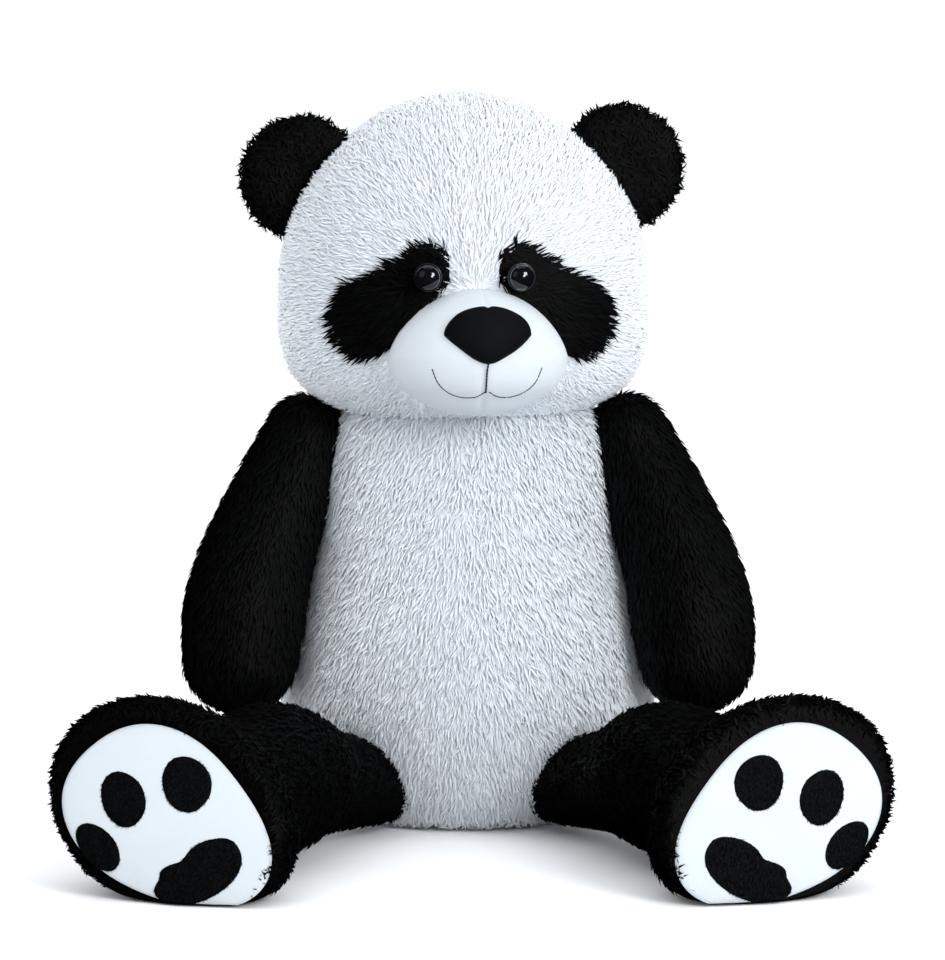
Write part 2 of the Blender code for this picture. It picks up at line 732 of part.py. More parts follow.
def build_arm(side, arm):
    """Outer and inner panels over the filling, seamed down the front and the back."""
    name = side_name(side)
    outer = loft(limb_rings(ARM_PATH, side), LIMB_SIDES)
    hang_on(add_object(f"arm_stuffing_{name}", shrunk(outer, SKIN + FILLING_GAP), FIBRE), arm)
    hollow = hidden_tool(f"arm_hollow_{name}", shrunk(outer, SKIN))
    root, _ = limb_middle(ARM_PATH, 0.0)
    tip, _ = limb_middle(ARM_PATH, 1.0)
    lean = (tip - root).normalized()
    out = mirrored(Vector((1, 0, 0)) - lean * lean.x, side).normalized()
    for label, way in (("outer", 1), ("inner", -1)):
        bm = bmesh.new()
        bmesh.ops.create_cube(bm, size=1.0)
        middle = mirrored((root + tip) / 2, side) + out * way * (1 + SEAM_GAP) / 2
        frame = ring_frame(middle, out, (0, 1, 0), 1, 1)
        bmesh.ops.transform(bm, matrix=frame, verts=bm.verts)
        half = hidden_tool(f"arm_{label}_{name}_region", bm)
        sewn_panel(f"arm_{label}_panel_{name}", outer, COAL, [half], [hollow], arm)
    outer.free()


def leg_form(side, inset):
    """The leg and foot, pressed flat where it lies on the floor."""
    sides = LIMB_SIDES + 4
    return rest_on_floor(loft(leg_rings(side, inset), sides), FLOOR_CLEAR + inset)


def build_leg(side, leg):
    """Upper and under panels over the filling, closed by the sole with its appliqued pads."""
    name = side_name(side)
    facing, toes, _ = foot_axes(side)
    bm = bmesh.new()
    bmesh.ops.create_cube(bm, size=1.0)
    middle = mirrored(FOOT_MIDDLE, side) - facing * (0.5 + SOLE_SET_BACK)
    bmesh.ops.transform(bm, matrix=ring_frame(middle, facing, toes, 1, 1), verts=bm.verts)
    behind_sole = hidden_tool(f"behind_sole_{name}", bm)
    core = add_object(f"leg_stuffing_{name}", leg_form(side, LEG_CORE_INSET), FIBRE)
    hang_on(settle(core, [("INTERSECT", behind_sole)]), leg)
    hollow = hidden_tool(f"leg_hollow_{name}", leg_form(side, SKIN))
    outer = leg_form(side, 0.0)
    for label, z_sign in (("upper", 1), ("under", -1)):
        part = half_space(f"leg_{label}_{name}_region", 2, z_sign, at=LEG_SEAM)
        sewn_panel(f"leg_{label}_panel_{name}", outer, COAL, [behind_sole, part], [hollow], leg)
    outer.free()

    base = SEAM_GAP - SOLE_SET_BACK
    sole = sole_form(side, SOLE_LENGTH / 2, SOLE_WIDTH / 2, SOLE_SKIN, base)
    hang_on(add_object(f"sole_{name}", rest_on_floor(sole, FLOOR_CLEAR), VELVET), leg)
    lift = base + SOLE_SKIN + SEAM_GAP
    for label, (across, toward, half_width, half_length) in TOE_PADS.items():
        place = (across, toward)
        form = sole_form(side, half_length, half_width, PAD_SKIN, lift, place, turn=PADS_TURN)
        hang_on(add_object(f"toe_pad_{label}_{name}", form, INK), leg)
    across, toward, half_width, half_length = HEEL_PAD
    place = (across, toward)
    notch = HEEL_PAD_NOTCH
    form = sole_form(side, half_length, half_width, PAD_SKIN, lift, place, notch, PADS_TURN)
    hang_on(add_object(f"heel_pad_{name}", form, INK), leg)


def main():
    clear_scene()
    root = joint_empty("torso_origin", (0, 0, 0))
    build_tail(root, build_torso(root))
    neck = joint_empty("neck_pivot", NECK_PIVOT)
    build_neck(neck)
    head = joint_empty("head_pivot", NECK_PIVOT)
    ears = {}
    for side in (1, -1):
        seam = ear_frame(side) @ Vector((0, 0, -EAR_ROOT))
        ears[side] = joint_empty(f"ear_pivot_{side_name(side)}", seam)
    build_head(head, ears)
    for ear in ears.values():
        hang_on(ear, head)
    head.rotation_euler.z = HEAD_TURNED
    for side in (1, -1):
        shoulder, _ = limb_middle(ARM_PATH, 0.0)
        build_arm(side, joint_empty(f"shoulder_pivot_{side_name(side)}", mirrored(shoulder, side)))
        hip, _ = limb_middle(LEG_PATH, 0.0)
        build_leg(side, joint_empty(f"hip_pivot_{side_name(side)}", mirrored(hip, side)))


main()
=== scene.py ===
"""A large seated plush panda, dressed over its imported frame.

Long white and black pile, short white velour on the snout and soles, black applique pads,
domed eyes, a padded nose and a stitched smile. Metres, +Z up. The panda faces -Y and its
own left is +X.
"""

import sys

import logging
import math
from dataclasses import dataclass, field
from enum import Enum
from typing import Callable, Optional, Sequence

import bmesh
import bpy
import numpy as np
from mathutils import Matrix, Vector
from mathutils.bvhtree import BVHTree

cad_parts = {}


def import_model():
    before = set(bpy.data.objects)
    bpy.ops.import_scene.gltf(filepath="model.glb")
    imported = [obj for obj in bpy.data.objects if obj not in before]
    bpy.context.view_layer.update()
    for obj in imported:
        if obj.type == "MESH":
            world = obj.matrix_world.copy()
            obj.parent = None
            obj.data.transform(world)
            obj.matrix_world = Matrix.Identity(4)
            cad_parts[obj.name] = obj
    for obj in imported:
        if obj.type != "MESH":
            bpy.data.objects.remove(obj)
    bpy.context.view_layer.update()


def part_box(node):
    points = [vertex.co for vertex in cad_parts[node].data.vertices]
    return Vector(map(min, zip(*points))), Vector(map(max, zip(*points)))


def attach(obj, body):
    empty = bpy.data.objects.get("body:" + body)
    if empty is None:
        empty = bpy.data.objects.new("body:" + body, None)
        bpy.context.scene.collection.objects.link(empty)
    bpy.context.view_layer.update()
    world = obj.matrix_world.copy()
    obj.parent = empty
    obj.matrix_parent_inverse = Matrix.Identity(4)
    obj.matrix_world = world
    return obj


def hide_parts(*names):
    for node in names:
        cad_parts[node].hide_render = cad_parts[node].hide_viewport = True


LOG = logging.getLogger("panda")

Array = np.ndarray
Field = Callable[[Array, Array], Array]
Colour = tuple[float, float, float, float]
Row = tuple[float, ...]

NECK_PIVOT = Vector((0.0, 0.0, 0.360))
HEAD_TURN = math.radians(3.5)
HEAD_PLACE = (
    Matrix.Translation(NECK_PIVOT + Vector((-0.0035, 0.0, 0.0)))
    @ Matrix.Rotation(HEAD_TURN, 4, "Z")
    @ Matrix.Translation(-NECK_PIVOT)
)


class Side(Enum):
    """The panda's own left (+X) or right (-X)."""

    LEFT = 1
    RIGHT = -1

    @property
    def word(self) -> str:
        """The side's name as the frame's nodes spell it."""
        return self.name.lower()

    def across(self, point: Sequence[float]) -> Vector:
        """A point given for the left side, on this side."""
        return Vector((point[0] * self.value, point[1], point[2]))


class Slot(Enum):
    """The record's material slots."""

    WHITE_PILE = "white_pile"
    BLACK_PILE = "black_pile"
    WHITE_SHORT = "white_short_pile"
    BLACK_SHORT = "black_short_pile"
    EYE = "eye_gloss"
    WASHER = "washer_plastic"
    THREAD = "black_thread"
    TAPE = "label_tape"


# ---------------------------------------------------------------- node graphs


class Graph:
    """A node tree with short ways to add and wire nodes."""

    def __init__(self, tree: bpy.types.NodeTree) -> None:
        """Keeps the tree.

        Args:
            tree: the tree to build in.
        """
        self.tree = tree

    def add(self, kind: str, inputs: Optional[dict] = None, **settings: object) -> bpy.types.Node:
        """Adds a node.

        Args:
            kind: the node's type name.
            inputs: socket name or number to a plain value or an output socket.
            settings: the node's own settings.

        Returns:
            The new node.
        """
        node = self.tree.nodes.new(kind)
        for name, value in settings.items():
            setattr(node, name, value)
        for key, value in (inputs or {}).items():
            self.feed(node.inputs[key], value)
        return node

    def feed(self, socket: bpy.types.NodeSocket, value: object) -> None:
        """Gives a socket a plain value, or links an output to it.

        Args:
            socket: the input.
            value: a plain value or an output socket.
        """
        if isinstance(value, bpy.types.NodeSocket):
            self.tree.links.new(value, socket)
        else:
            socket.default_value = value

    def math(self, operation: str, *terms: object) -> bpy.types.NodeSocket:
        """The result of a Math node on terms."""
        node = self.add("ShaderNodeMath", dict(enumerate(terms)), operation=operation)
        return node.outputs[0]

    def vector(self, operation: str, *terms: object) -> bpy.types.NodeSocket:
        """Adds a Vector Math node.

        Args:
            operation: what it does.
            terms: its inputs in order, values or outputs.

        Returns:
            Its result.
        """
        node = self.add("ShaderNodeVectorMath", operation=operation)
        for place, term in enumerate(terms):
            key = "Scale" if operation == "SCALE" and place == 1 else place
            self.feed(node.inputs[key], term)
        return node.outputs[0]

    def mix_colour(self, share: object, first: object, second: object) -> bpy.types.NodeSocket:
        """Adds a mix of two colours.

        Args:
            share: how much of the second is in it.
            first: the colour at 0.
            second: the colour at 1.

        Returns:
            The mixed colour.
        """
        node = self.add("ShaderNodeMix", data_type="RGBA")
        for key, value in ((0, share), (6, first), (7, second)):
            self.feed(node.inputs[key], value)
        return node.outputs[2]


# ---------------------------------------------------------------- finishes


@dataclass(frozen=True)
class Finish:
    """What every finish has: a name, a slot, a colour and how rough and bright its nap is."""

    name: str
    slot: Slot
    colour: Colour
    shade: Colour
    roughness: float = 0.9
    sheen: float = 0.0

    def material(self) -> bpy.types.Material:
        """Makes the finish's material, once.

        Returns:
            The material.
        """
        known = bpy.data.materials.get(self.name)
        if known:
            return known
        made = bpy.data.materials.new(self.name)
        made.use_nodes = True
        made.diffuse_color = self.colour
        graph = Graph(made.node_tree)
        shader = made.node_tree.nodes["Principled BSDF"]
        shader.inputs["Base Color"].default_value = self.colour
        shader.inputs["Roughness"].default_value = self.roughness
        shader.inputs["Sheen Weight"].default_value = self.sheen
        shader.inputs["Sheen Roughness"].default_value = 0.5
        self.paint(graph, shader)
        return made

    def paint(self, graph: Graph, shader: bpy.types.Node) -> None:
        """Adds the finish's own colour and bump nodes.

        Args:
            graph: the material's graph.
            shader: its Principled node.
        """

    def place(self, graph: Graph) -> bpy.types.NodeSocket:
        """Coordinates on the piece, in metres."""
        return graph.add("ShaderNodeTexCoord").outputs["Object"]

    def noise(self, graph: Graph, scale: float, detail: float = 3.0) -> bpy.types.NodeSocket:
        """A noise value over the piece."""
        settings = {"Vector": self.place(graph), "Scale": scale, "Detail": detail}
        return graph.add("ShaderNodeTexNoise", settings).outputs[0]

    def bump(
        self, graph: Graph, shader: bpy.types.Node, height: object, strength: float, depth: float
    ) -> None:
        """Puts a bump on the shader.

        Args:
            graph: the material's graph.
            shader: its Principled node.
            height: the bump's height, 0 to 1.
            strength: how strong it is.
            depth: how deep it is, in metres.
        """
        settings = {"Height": height, "Strength": strength, "Distance": depth}
        node = graph.add("ShaderNodeBump", settings)
        graph.feed(shader.inputs["Normal"], node.outputs[0])

    def wear(self, obj: bpy.types.Object) -> bpy.types.Object:
        """Gives the finish to a piece, alone.

        Args:
            obj: the piece.

        Returns:
            The same piece.
        """
        obj.data.materials.clear()
        obj.data.materials.append(self.material())
        return obj


@dataclass(frozen=True)
class PileFinish(Finish):
    """Long pile: darker at the roots with painted shade of the deep pile, paler at the tips, with locks of
    slightly different tone.
    """

    variety: float = 0.25
    specular: float = 0.3
    glow: float = 0.0

    def paint(self, graph: Graph, shader: bpy.types.Node) -> None:
        """Colour from root to tip, where the darker root colour is painted shade deep in the pile, and from
        lock to lock.

        Args:
            graph: the material's graph.
            shader: its Principled node.
        """
        reach = graph.add("ShaderNodeAttribute", attribute_name="reach").outputs["Fac"]
        tone = graph.add("ShaderNodeAttribute", attribute_name="tone").outputs["Fac"]
        drift = self.noise(graph, 14.0, 2.0)
        # Painted shade: the roots take the shade colour and the tips the full colour; a backing without the
        # reach attribute wears the roots' painted shade all over.
        lit = graph.math("POWER", reach, 0.7)
        mixed = graph.mix_colour(lit, self.shade, self.colour)
        vary = graph.math("MULTIPLY_ADD", tone, self.variety, 1.0 - self.variety * 0.75)
        vary = graph.math("MULTIPLY_ADD", drift, 0.10, graph.math("SUBTRACT", vary, 0.05))
        toned = graph.vector("SCALE", mixed, vary)
        graph.feed(shader.inputs["Base Color"], toned)
        shader.inputs["Specular IOR Level"].default_value = self.specular
        shader.inputs["Subsurface Weight"].default_value = self.glow
        shader.inputs["Subsurface Radius"].default_value = (1.0, 1.0, 1.0)
        shader.inputs["Subsurface Scale"].default_value = 0.006
        strands = self.noise(graph, 900.0, 2.0)
        self.bump(graph, shader, strands, 0.35, 0.0006)


@dataclass(frozen=True)
class VelourFinish(Finish):
    """Short dense nap with a soft mottle where it has been brushed both ways."""

    grain: float = 1100.0
    depth: float = 0.0004

    def paint(self, graph: Graph, shader: bpy.types.Node) -> None:
        """Mottled nap and a fine bump.

        Args:
            graph: the material's graph.
            shader: its Principled node.
        """
        brushed = self.noise(graph, 38.0, 4.0)
        nap = self.noise(graph, self.grain, 2.0)
        share = graph.math("MULTIPLY_ADD", nap, 0.45, graph.math("MULTIPLY", brushed, 0.55))
        graph.feed(shader.inputs["Base Color"], graph.mix_colour(share, self.shade, self.colour))
        shader.inputs["Specular IOR Level"].default_value = 0.2
        height = graph.math("MULTIPLY_ADD", brushed, 0.5, nap)
        self.bump(graph, shader, height, 0.5, self.depth)


@dataclass(frozen=True)
class TwillFinish(Finish):
    """Matt woven cloth with a fine slanting rib."""

    rib: float = 0.0011

    def paint(self, graph: Graph, shader: bpy.types.Node) -> None:
        """A slanting weave and its bump.

        Args:
            graph: the material's graph.
            shader: its Principled node.
        """
        settings = {"Vector": self.place(graph), "Scale": 1.0 / self.rib / 3.14}
        settings |= {"Distortion": 0.6, "Detail": 1.0}
        weave = graph.add("ShaderNodeTexWave", settings, bands_direction="DIAGONAL").outputs["Fac"]
        cloud = self.noise(graph, 260.0, 3.0)
        share = graph.math("MULTIPLY_ADD", weave, 0.5, graph.math("MULTIPLY", cloud, 0.5))
        graph.feed(shader.inputs["Base Color"], graph.mix_colour(share, self.shade, self.colour))
        shader.inputs["Specular IOR Level"].default_value = 0.12
        self.bump(graph, shader, share, 0.8, 0.0004)


@dataclass(frozen=True)
class GlossFinish(Finish):
    """Polished moulded plastic under a clear coat, with the faintest swirl from the mould."""

    coat: float = 0.6
    specular: float = 0.3

    def paint(self, graph: Graph, shader: bpy.types.Node) -> None:
        """Coat, and a slight unevenness of polish.

        Args:
            graph: the material's graph.
            shader: its Principled node.
        """
        shader.inputs["Coat Weight"].default_value = self.coat
        shader.inputs["Specular IOR Level"].default_value = self.specular
        shader.inputs["Coat Roughness"].default_value = 0.02
        swirl = self.noise(graph, 120.0, 2.0)
        graph.feed(shader.inputs["Base Color"], graph.mix_colour(swirl, self.shade, self.colour))
        rough = graph.math("MULTIPLY_ADD", swirl, 0.04, self.roughness)
        graph.feed(shader.inputs["Roughness"], rough)


@dataclass(frozen=True)
class StudioFinish(Finish):
    """The pale floor of the studio, left plain."""


# Its shade colour is the painted shade at the roots of the pile.
SNOW = PileFinish(
    name="snow_pile",
    slot=Slot.WHITE_PILE,
    colour=(0.872, 0.934, 0.996, 1.0),
    shade=(0.862, 0.928, 0.994, 1.0),
    roughness=1.0,
    sheen=0.1,
    variety=0.03,
    specular=0.0,
    glow=0.5,
)
# Its shade colour is the painted shade at the roots of the pile, and the black backings wear it all over.
COAL = PileFinish(
    name="coal_pile",
    slot=Slot.BLACK_PILE,
    colour=(0.0022, 0.0027, 0.0031, 1.0),
    shade=(0.0006, 0.0007, 0.0008, 1.0),
    roughness=0.6,
    sheen=0.0,
    variety=0.8,
    specular=0.07,
)
# Painted shade: the white backing is coloured grey, well below the white pile, because it shows only through
# the gaps between locks, where the deep pile lies in shade.
SHADED_SNOW_BACKING = VelourFinish(
    name="snow_backing",
    slot=Slot.WHITE_PILE,
    colour=(0.70, 0.72, 0.76, 1.0),
    shade=(0.62, 0.645, 0.69, 1.0),
    roughness=0.95,
)
VELOUR = VelourFinish(
    name="white_velour",
    slot=Slot.WHITE_SHORT,
    colour=(0.52, 0.555, 0.58, 1.0),
    shade=(0.44, 0.48, 0.51, 1.0),
    roughness=0.9,
    sheen=0.05,
)
# Its shade colour is the painted shade at the roots of the nap.
FELT_NAP = PileFinish(
    name="black_felt_nap",
    slot=Slot.BLACK_SHORT,
    colour=(0.0014, 0.0026, 0.0030, 1.0),
    shade=(0.0005, 0.0009, 0.0010, 1.0),
    roughness=0.9,
    sheen=0.0,
    variety=0.5,
    specular=0.02,
)
PAD_FELT = VelourFinish(
    name="black_felt",
    slot=Slot.BLACK_SHORT,
    colour=(0.0014, 0.0026, 0.0030, 1.0),
    shade=(0.0005, 0.0009, 0.0010, 1.0),
    roughness=0.9,
    sheen=0.0,
    grain=1400.0,
    depth=0.0005,
)
NOSE_CLOTH = TwillFinish(
    name="nose_cloth",
    slot=Slot.BLACK_SHORT,
    colour=(0.0022, 0.0040, 0.0044, 1.0),
    shade=(0.0007, 0.0012, 0.0013, 1.0),
    roughness=0.8,
    sheen=0.0,
)
EYE_BLACK = GlossFinish(
    name="eye_black",
    slot=Slot.EYE,
    colour=(0.004, 0.004, 0.006, 1.0),
    shade=(0.002, 0.002, 0.003, 1.0),
    roughness=0.05,
)
EYE_RIM = GlossFinish(
    name="eye_rim_navy",
    slot=Slot.EYE,
    colour=(0.003, 0.005, 0.013, 1.0),
    shade=(0.0015, 0.003, 0.008, 1.0),
    roughness=0.4,
)
WASHER = VelourFinish(
    name="washer_plastic",
    slot=Slot.WASHER,
    colour=(0.8, 0.8, 0.78, 1.0),
    shade=(0.74, 0.74, 0.72, 1.0),
    roughness=0.4,
    sheen=0.0,
    grain=300.0,
)
THREAD = TwillFinish(
    name="black_thread",
    slot=Slot.THREAD,
    colour=(0.016, 0.016, 0.018, 1.0),
    shade=(0.005, 0.005, 0.006, 1.0),
    roughness=0.6,
    sheen=0.1,
)
TAPE = TwillFinish(
    name="label_tape",
    slot=Slot.TAPE,
    colour=(0.52, 0.52, 0.51, 1.0),
    shade=(0.45, 0.45, 0.44, 1.0),
    roughness=0.7,
    sheen=0.05,
    rib=0.0006,
)
FLOOR = StudioFinish(
    name="studio_floor",
    slot=Slot.TAPE,
    colour=(0.95, 0.955, 0.965, 1.0),
    shade=(1.0, 1.0, 1.0, 1.0),
    roughness=0.9,
)


# ---------------------------------------------------------------- forms


def add_object(name: str, bm: bmesh.types.BMesh) -> bpy.types.Object:
    """Links a bmesh as an object at the origin, smooth shaded.

    Args:
        name: the object's name.
        bm: the bmesh, freed afterwards.

    Returns:
        The object.
    """
    mesh = bpy.data.meshes.new(name)
    bm.to_mesh(mesh)
    bm.free()
    obj = bpy.data.objects.new(name, mesh)
    bpy.context.scene.collection.objects.link(obj)
    mesh.shade_smooth()
    return obj


def settle(obj: bpy.types.Object) -> bpy.types.Object:
    """Applies an object's modifiers to its mesh.

    Args:
        obj: the object.

    Returns:
        The same object.
    """
    graph = bpy.context.evaluated_depsgraph_get()
    graph.update()
    name = obj.data.name
    mesh = bpy.data.meshes.new_from_object(obj.evaluated_get(graph))
    old = obj.data
    obj.modifiers.clear()
    obj.data = mesh
    bpy.data.meshes.remove(old)
    mesh.name = name
    mesh.shade_smooth()
    return obj


def remeshed(obj: bpy.types.Object, voxel: float) -> bpy.types.Object:
    """Turns overlapping closed forms into one even closed skin.

    Args:
        obj: the object whose mesh is replaced.
        voxel: the size of the even faces, in metres.

    Returns:
        The same object.
    """
    felt = obj.modifiers.new("felt", "REMESH")
    felt.mode = "VOXEL"
    felt.voxel_size = voxel
    return settle(obj)


def smoothed(bm: bmesh.types.BMesh) -> None:
    """Moves every point half way towards its neighbours."""
    axes = {f"use_axis_{axis}": True for axis in "xyz"}
    bmesh.ops.smooth_vert(bm, verts=bm.verts, factor=0.5, **axes)


def relaxed(obj: bpy.types.Object, rounds: int) -> bpy.types.Object:
    """Smooths a skin.

    Args:
        obj: the skin.
        rounds: how many times its points move.

    Returns:
        The same object.
    """
    bm = bmesh.new()
    bm.from_mesh(obj.data)
    for _ in range(rounds):
        smoothed(bm)
    bmesh.ops.recalc_face_normals(bm, faces=bm.faces)
    bm.to_mesh(obj.data)
    bm.free()
    obj.data.shade_smooth()
    return obj


def points_of(mesh: bpy.types.Mesh) -> tuple[Array, Array]:
    """Reads a mesh's points.

    Args:
        mesh: the mesh.

    Returns:
        Their places and normals, a row for each.
    """
    count = len(mesh.vertices)
    places = np.empty(count * 3, np.float32)
    normals = np.empty(count * 3, np.float32)
    mesh.vertices.foreach_get("co", places)
    mesh.vertices.foreach_get("normal", normals)
    return places.reshape(-1, 3).astype(float), normals.reshape(-1, 3).astype(float)


def in_order(mesh: bpy.types.Mesh, name: str) -> bpy.types.Mesh:
    """Copies a skin with its points and faces sorted by place, so that each run scatters alike.

    Args:
        mesh: the skin, which stays as it is.
        name: the copy's name.

    Returns:
        The copy.
    """
    spots = [tuple(round(c, 6) for c in vert.co) for vert in mesh.vertices]
    order = sorted(range(len(spots)), key=spots.__getitem__)
    rank = {old: new for new, old in enumerate(order)}
    faces = []
    for polygon in mesh.polygons:
        corners = [rank[number] for number in polygon.vertices]
        first = corners.index(min(corners))
        faces.append(corners[first:] + corners[:first])
    copy = bpy.data.meshes.new(name)
    copy.from_pydata([mesh.vertices[number].co for number in order], [], sorted(faces))
    copy.shade_smooth()
    return copy


def move_points(obj: bpy.types.Object, places: Array) -> None:
    """Puts an object's points at new places."""
    obj.data.vertices.foreach_set("co", places.astype(np.float32).ravel())
    obj.data.update()


def pulled_in(obj: bpy.types.Object, depth: float) -> bpy.types.Object:
    """Moves a skin in along its normals, from the pile's reach to its backing.

    Args:
        obj: the skin.
        depth: how far, in metres.

    Returns:
        The same object.
    """
    places, normals = points_of(obj.data)
    move_points(obj, places - normals * depth)
    return obj


def rest(obj: bpy.types.Object, press: float = 0.014, floor: float = 0.0004) -> bpy.types.Object:
    """Presses what would sink below the floor flat, with a soft turn into the flat.

    Args:
        obj: the piece.
        press: how far above the floor the turn starts, in metres.
        floor: how high its flat lies.

    Returns:
        The same piece.
    """
    places, _ = points_of(obj.data)
    low = places[:, 2] - floor
    share = np.clip((low + press) / (2 * press), 0.0, None)
    places[:, 2] = np.where(low < press, floor + press * share * share, places[:, 2])
    move_points(obj, places)
    return obj


def ring(
    middle: Sequence[float], facing: Sequence[float], side: Sequence[float], across: float, along: float
) -> Matrix:
    """The matrix that takes the unit circle to an oval.

    Args:
        middle: the oval's middle.
        facing: the way its plane faces.
        side: the way of its across half size.
        across: half size that way.
        along: half size the other way.

    Returns:
        A 4 by 4 matrix.
    """
    axis = Vector(facing).normalized()
    wide = (Vector(side) - axis * axis.dot(Vector(side))).normalized()
    deep = axis.cross(wide)
    frame = Matrix((wide * across, deep * along, axis)).transposed().to_4x4()
    frame.translation = middle
    return frame


def loft(rings: Sequence[Matrix], sides: int, bm: Optional[bmesh.types.BMesh] = None) -> bmesh.types.BMesh:
    """A closed form through rings.

    Args:
        rings: matrices for the unit circle, in order.
        sides: points round each ring.
        bm: a bmesh to add it to, or None for a new one.

    Returns:
        The bmesh, with its faces outwards.
    """
    bm = bm or bmesh.new()
    first = bmesh.ops.create_circle(bm, cap_ends=True, segments=sides, radius=1.0, matrix=rings[0])
    start = set(first["verts"])
    edges = [e for e in bm.edges if e.verts[0] in start and e.verts[1] in start]
    for before, after in zip(rings, rings[1:]):
        grown = bmesh.ops.extrude_edge_only(bm, edges=edges)["geom"]
        verts = {item for item in grown if isinstance(item, bmesh.types.BMVert)}
        bmesh.ops.transform(bm, matrix=after @ before.inverted(), verts=list(verts))
        edges = [e for e in bm.edges if e.verts[0] in verts and e.verts[1] in verts]
    bmesh.ops.edgeloop_fill(bm, edges=edges)
    bmesh.ops.recalc_face_normals(bm, faces=bm.faces)
    return bm


def ball(bm: bmesh.types.BMesh, middle: Sequence[float], half: Sequence[float]) -> None:
    """Adds an egg to a bmesh.

    Args:
        bm: the bmesh.
        middle: the egg's middle.
        half: its half sizes.
    """
    frame = Matrix.Translation(middle) @ Matrix.Diagonal((*half, 1.0))
    bmesh.ops.create_uvsphere(bm, u_segments=40, v_segments=24, radius=1.0, matrix=frame)


def blended_row(rows: Sequence[Row], share: float) -> list[float]:
    """Reads a smooth curve through rows of numbers.

    Args:
        rows: the rows, in order.
        share: how far along them, 0 to 1.

    Returns:
        The row there.
    """
    span = share * (len(rows) - 1)
    first = min(int(span), len(rows) - 2)
    t = span - first
    a, b, c, d = (rows[min(max(first + k, 0), len(rows) - 1)] for k in (-1, 0, 1, 2))
    return [
        (2 * q + (r - p) * t + (2 * p - 5 * q + 4 * r - s) * t * t + (3 * q - p - 3 * r + s) * t**3) / 2
        for p, q, r, s in zip(a, b, c, d)
    ]


def standing_form(rows: Sequence[Row], count: int = 30, sides: int = 40) -> bmesh.types.BMesh:
    """A form of level ovals.

    Args:
        rows: height, half width, half depth and how far forward each oval lies.
        count: how many ovals are lofted.
        sides: points round each oval.

    Returns:
        The closed form.
    """
    least = 0.002
    rings = []
    for step in range(count):
        share = (1 - math.cos(math.pi * step / (count - 1))) / 2
        height, wide, deep, forward = blended_row(rows, share)
        rings.append(ring((0, -forward, height), (0, 0, 1), (1, 0, 0), max(wide, least), max(deep, least)))
    return loft(rings, sides)


def limb_form(path: Sequence[Row], side: Side, count: int = 18, sides: int = 32) -> bmesh.types.BMesh:
    """A rounded limb with half-ball ends.

    Args:
        path: x, y, z and radius of points along its middle, for the left side.
        side: the side it is on.
        count: how many rings are lofted between the ends.
        sides: points round each ring.

    Returns:
        The closed form.
    """
    rings = []
    steps = [k / (count - 1) for k in range(count)]

    def at(share: float) -> tuple[Vector, float]:
        """The limb's middle and radius at share of its length."""
        x, y, z, radius = blended_row(path, share)
        return side.across((x, y, z)), radius

    def run(share: float) -> Vector:
        """The way the limb runs at share of its length."""
        return (at(min(share + 0.02, 1.0))[0] - at(max(share - 0.02, 0.0))[0]).normalized()

    sideways = (side.value, 0, 0)
    for end, ways in ((0.0, (5, 4, 3, 2, 1)), (None, ()), (1.0, (1, 2, 3, 4, 5))):
        if end is None:
            rings += [ring(at(s)[0], run(s), sideways, at(s)[1], at(s)[1]) for s in steps]
            continue
        middle, radius = at(end)
        sign = 1 if end else -1
        for way in ways:
            angle = math.radians(84) * way / 5
            spot = middle + run(end) * sign * radius * math.sin(angle)
            rings.append(ring(spot, run(end), sideways, radius * math.cos(angle), radius * math.cos(angle)))
    return loft(rings, sides)


def smooth_step(value: Array, low: float, high: float) -> Array:
    """0 below low, 1 above high, and smooth between them."""
    t = np.clip((value - low) / (high - low), 0.0, 1.0)
    return t * t * (3 - 2 * t)


def bell(value: Array, width: float) -> Array:
    """1 where value is 0, falling off on both sides within about width."""
    return np.exp(-((value / width) ** 2))


def rows_of(vector: Sequence[float], count: int) -> Array:
    """The same vector count times."""
    return np.tile(np.array(vector, float), (count, 1))


# ---------------------------------------------------------------- pile


